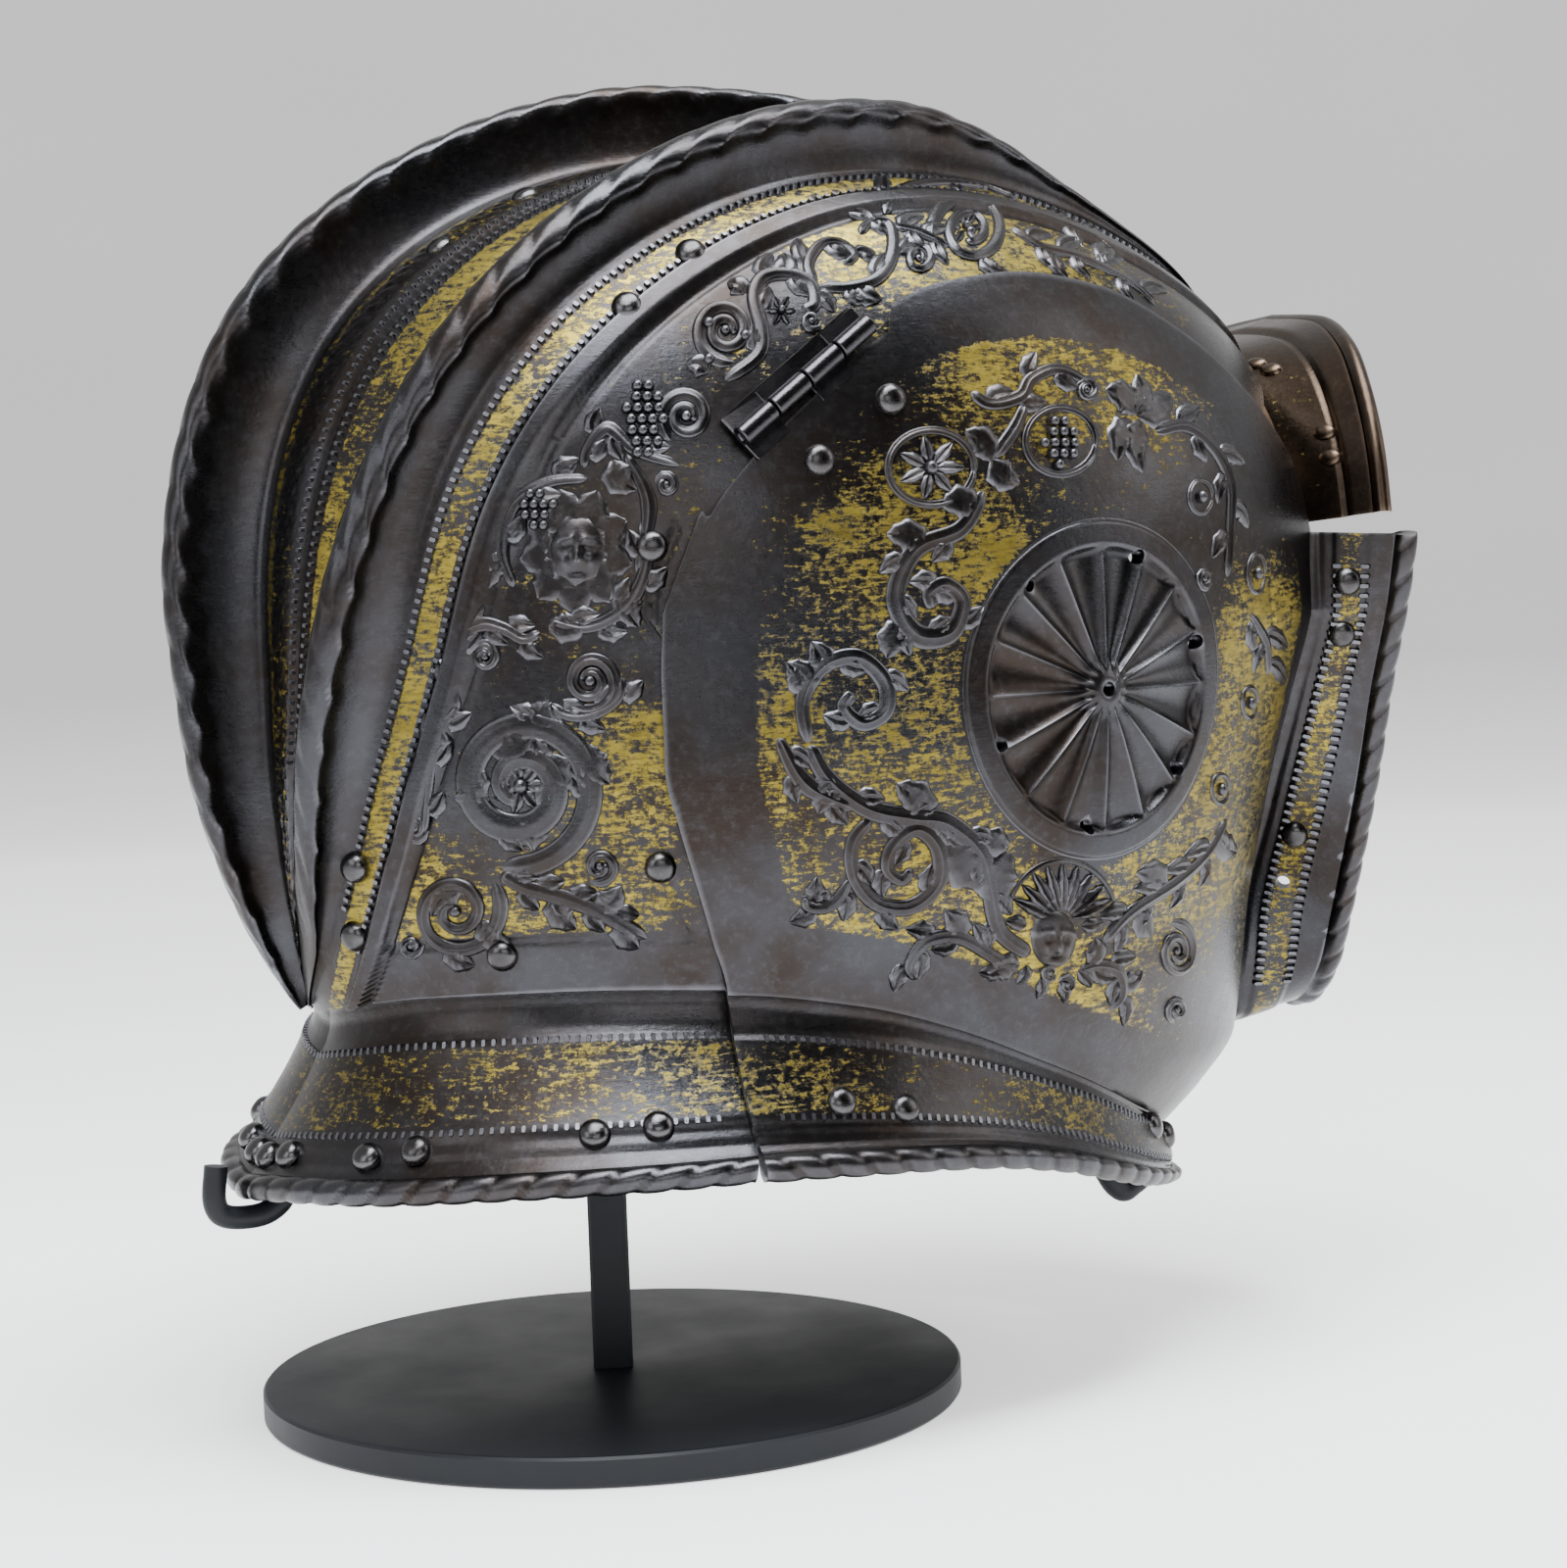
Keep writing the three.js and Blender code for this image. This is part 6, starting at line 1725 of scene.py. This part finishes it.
def build_stage():
    """Floor and backdrop, soft lights and the camera; the floor and backdrop carry painted shade on
    their side behind the camera.
    """
    n = Nodes("pale_floor")
    a = math.radians(CAMERA_TURN[0])
    depth = n.tree.nodes.new("ShaderNodeVectorMath")
    depth.operation = "DOT_PRODUCT"
    n.link(n.where, depth, 0)
    depth.inputs[1].default_value = (-math.sin(a), math.cos(a), 0)
    # Painted shade: on the side behind the camera the floor and backdrop are dark and barely glow,
    # standing in for the unlit studio there; everywhere else they glow evenly.
    far = n.span(depth.outputs["Value"], -1.7, -0.9)
    tone = n.noise(3, 2, 0.5)
    pale = n.mix(n.span(tone, 0.3, 0.7), tuple(colours().floor),
                 tuple(0.97 * c for c in colours().floor))
    # Painted shade: behind the camera the colour falls to a fifth of the floor colour.
    colour = n.mix(far, tuple(0.2 * c for c in colours().floor), pale)
    reach = n.tree.nodes.new("ShaderNodeVectorMath")
    reach.operation = "LENGTH"
    n.link(n.where, reach, 0)
    level = n.span(reach.outputs["Value"], 1.7, 2.3)
    floor = n.finish(n.mix(level, colour, (0, 0, 0)), 0.9, metal=0.0)
    n.shader.inputs["Specular IOR Level"].default_value = 0.0
    n.tree.links.new(colour, n.shader.inputs["Emission Color"])
    # Painted shade in the glow: almost no emission behind the camera, an even glow elsewhere.
    n.link(n.span(far, 0, 1, 0.03, 1.06), n.shader, "Emission Strength")
    profile = [(0.0, 0.0), (1.0, 0.0), (FLOOR_RADIUS, 0.0)]
    profile += [(FLOOR_RADIUS + SWEEP_RADIUS * math.sin(t), SWEEP_RADIUS * (1 - math.cos(t)))
                for t in np.linspace(0, math.pi / 2, 16)[1:]]
    profile += [(FLOOR_RADIUS + SWEEP_RADIUS, WALL_TALL), MOUTH]
    turn = np.linspace(0, 2 * math.pi, 96, endpoint=False)
    rows = np.array([[(r * math.cos(t), r * math.sin(t), z) for t in turn]
                     for r, z in profile[1:]])
    index = np.arange(rows.shape[0] * 96).reshape(-1, 96) + 1
    rows = np.concatenate([[(0, 0, 0)], rows.reshape(-1, 3)])
    faces = quads(index, flip=True, ring=True)
    faces += [(0, int(index[0, k]), int(index[0, (k + 1) % 96])) for k in range(96)]
    mesh = bpy.data.meshes.new("studio_floor")
    mesh.from_pydata(rows.tolist(), [], faces)
    mesh.polygons.foreach_set("use_smooth", np.ones(len(mesh.polygons), bool))
    mesh.materials.append(floor)
    piece = bpy.data.objects.new("studio_floor", mesh)
    bpy.context.scene.collection.objects.link(piece)
    world = bpy.data.worlds.new("studio")
    world.use_nodes = True
    sky = world.node_tree.nodes["Background"]
    sky.inputs["Color"].default_value = (0.86, 0.88, 0.92, 1)
    sky.inputs["Strength"].default_value = 0.22
    bpy.context.scene.world = world

    for name, at, target, wide, tall, watts, tint in LAMPS:
        light = bpy.data.lights.new(name, "AREA")
        light.shape = "RECTANGLE"
        light.size, light.size_y, light.energy, light.color = wide, tall, watts, tint
        lamp = bpy.data.objects.new(name, light)
        lamp.location = at
        lamp.rotation_mode = "QUATERNION"
        lamp.rotation_quaternion = (Vector(target) - Vector(at)).to_track_quat("-Z", "Y")
        bpy.context.scene.collection.objects.link(lamp)
    camera = bpy.data.cameras.new("photo_camera")
    camera.sensor_width = 36
    camera.lens = CAMERA_FOCAL * 36 / FRAME_H
    camera.clip_start, camera.clip_end = 0.05, 30
    eye = bpy.data.objects.new("photo_camera", camera)
    eye.matrix_world = Matrix.Translation(Vector(EYE / 1000)) @ Matrix(
        np.stack([RIGHT, UP, BACK], 1).tolist()).to_4x4()
    bpy.context.scene.collection.objects.link(eye)
    bpy.context.scene.camera = eye


# Operators

class HELMET_OT_stage(bpy.types.Operator):
    """Set up the floor, the backdrop, the lights and the camera"""
    bl_idname = "helmet.stage"
    bl_label = "Stage"
    bl_options = {"REGISTER", "UNDO"}

    def execute(self, context):
        build_stage()
        return {"FINISHED"}


class HELMET_OT_skull(bpy.types.Operator):
    """Build the two skull halves with their roped combs"""
    bl_idname = "helmet.skull"
    bl_label = "Skull"
    bl_options = {"REGISTER", "UNDO"}

    def execute(self, context):
        build_skull()
        return {"FINISHED"}


class HELMET_OT_neck_plate(bpy.types.Operator):
    """Build the rear of the flared collar"""
    bl_idname = "helmet.neck_plate"
    bl_label = "Neck Plate"
    bl_options = {"REGISTER", "UNDO"}

    def execute(self, context):
        build_neck_plate()
        return {"FINISHED"}


class HELMET_OT_cheeks(bpy.types.Operator):
    """Build the cheekpieces with their halves of the collar"""
    bl_idname = "helmet.cheeks"
    bl_label = "Cheekpieces"
    bl_options = {"REGISTER", "UNDO"}

    def execute(self, context):
        build_cheeks()
        return {"FINISHED"}


class HELMET_OT_flanges(bpy.types.Operator):
    """Build the flanges round the face opening"""
    bl_idname = "helmet.flanges"
    bl_label = "Face Flanges"
    bl_options = {"REGISTER", "UNDO"}

    def execute(self, context):
        build_flanges()
        return {"FINISHED"}


class HELMET_OT_rosettes(bpy.types.Operator):
    """Build the fluted rosettes with their holes"""
    bl_idname = "helmet.rosettes"
    bl_label = "Rosettes"
    bl_options = {"REGISTER", "UNDO"}

    def execute(self, context):
        build_rosettes()
        return {"FINISHED"}


class HELMET_OT_peak(bpy.types.Operator):
    """Build the brow peak with its rolled edge"""
    bl_idname = "helmet.peak"
    bl_label = "Peak"
    bl_options = {"REGISTER", "UNDO"}

    def execute(self, context):
        build_peak()
        return {"FINISHED"}


class HELMET_OT_skull_scrolls(bpy.types.Operator):
    """Build the raised scrolls of the skull"""
    bl_idname = "helmet.skull_scrolls"
    bl_label = "Skull Scrolls"
    bl_options = {"REGISTER", "UNDO"}

    def execute(self, context):
        build_skull_scrolls()
        return {"FINISHED"}


class HELMET_OT_cheek_scrolls(bpy.types.Operator):
    """Build the raised scrolls of the cheekpieces"""
    bl_idname = "helmet.cheek_scrolls"
    bl_label = "Cheek Scrolls"
    bl_options = {"REGISTER", "UNDO"}

    def execute(self, context):
        build_cheek_scrolls()
        return {"FINISHED"}


class HELMET_OT_nicks(bpy.types.Operator):
    """Build the rows of small nicks beside the bands"""
    bl_idname = "helmet.nicks"
    bl_label = "Nicked Borders"
    bl_options = {"REGISTER", "UNDO"}

    def execute(self, context):
        build_nicks()
        return {"FINISHED"}


class HELMET_OT_hinges(bpy.types.Operator):
    """Build the knuckled hinges and their pins"""
    bl_idname = "helmet.hinges"
    bl_label = "Hinges"
    bl_options = {"REGISTER", "UNDO"}

    def execute(self, context):
        build_hinges()
        return {"FINISHED"}


class HELMET_OT_rivets(bpy.types.Operator):
    """Build the domed rivet heads"""
    bl_idname = "helmet.rivets"
    bl_label = "Rivets"
    bl_options = {"REGISTER", "UNDO"}

    def execute(self, context):
        build_rivets()
        return {"FINISHED"}


class HELMET_OT_stand(bpy.types.Operator):
    """Build the foot, the post, the bar and the hooks"""
    bl_idname = "helmet.stand"
    bl_label = "Stand"
    bl_options = {"REGISTER", "UNDO"}

    def execute(self, context):
        build_stand()
        return {"FINISHED"}


class HELMET_PT_parts(bpy.types.Panel):
    """Lists the helmet's pieces, sizes and colours"""
    bl_idname = "HELMET_PT_parts"
    bl_label = "Parade Helmet"
    bl_space_type = "VIEW_3D"
    bl_region_type = "UI"
    bl_category = "Helmet"

    def draw(self, context):
        layout = self.layout
        for group in (context.scene.helmet_sizes, context.scene.helmet_colours):
            for name in group.__annotations__:
                layout.prop(group, name)
        layout.operator("helmet.stage")
        layout.operator("helmet.skull")
        layout.operator("helmet.neck_plate")
        layout.operator("helmet.cheeks")
        layout.operator("helmet.flanges")
        layout.operator("helmet.rosettes")
        layout.operator("helmet.peak")
        layout.operator("helmet.skull_scrolls")
        layout.operator("helmet.cheek_scrolls")
        layout.operator("helmet.nicks")
        layout.operator("helmet.hinges")
        layout.operator("helmet.rivets")
        layout.operator("helmet.stand")


CLASSES = [
    HelmetSizes, HelmetColours,
    HELMET_OT_stage,
    HELMET_OT_skull,
    HELMET_OT_neck_plate,
    HELMET_OT_cheeks,
    HELMET_OT_flanges,
    HELMET_OT_rosettes,
    HELMET_OT_peak,
    HELMET_OT_skull_scrolls,
    HELMET_OT_cheek_scrolls,
    HELMET_OT_nicks,
    HELMET_OT_hinges,
    HELMET_OT_rivets,
    HELMET_OT_stand,
    HELMET_PT_parts,
]


def register():
    """Makes the classes and the settings known."""
    for cls in CLASSES:
        bpy.utils.register_class(cls)
    bpy.types.Scene.helmet_sizes = bpy.props.PointerProperty(type=HelmetSizes)
    bpy.types.Scene.helmet_colours = bpy.props.PointerProperty(type=HelmetColours)


def unregister():
    """Takes the classes and the settings away again."""
    del bpy.types.Scene.helmet_colours
    del bpy.types.Scene.helmet_sizes
    for cls in reversed(CLASSES):
        bpy.utils.unregister_class(cls)


def main():
    """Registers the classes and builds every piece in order."""
    register()
    bpy.ops.helmet.stage()
    bpy.ops.helmet.skull()
    bpy.ops.helmet.neck_plate()
    bpy.ops.helmet.cheeks()
    bpy.ops.helmet.flanges()
    bpy.ops.helmet.rosettes()
    bpy.ops.helmet.peak()
    bpy.ops.helmet.skull_scrolls()
    bpy.ops.helmet.cheek_scrolls()
    bpy.ops.helmet.nicks()
    bpy.ops.helmet.hinges()
    bpy.ops.helmet.rivets()
    bpy.ops.helmet.stand()


if __name__ == "__main__":
    main()
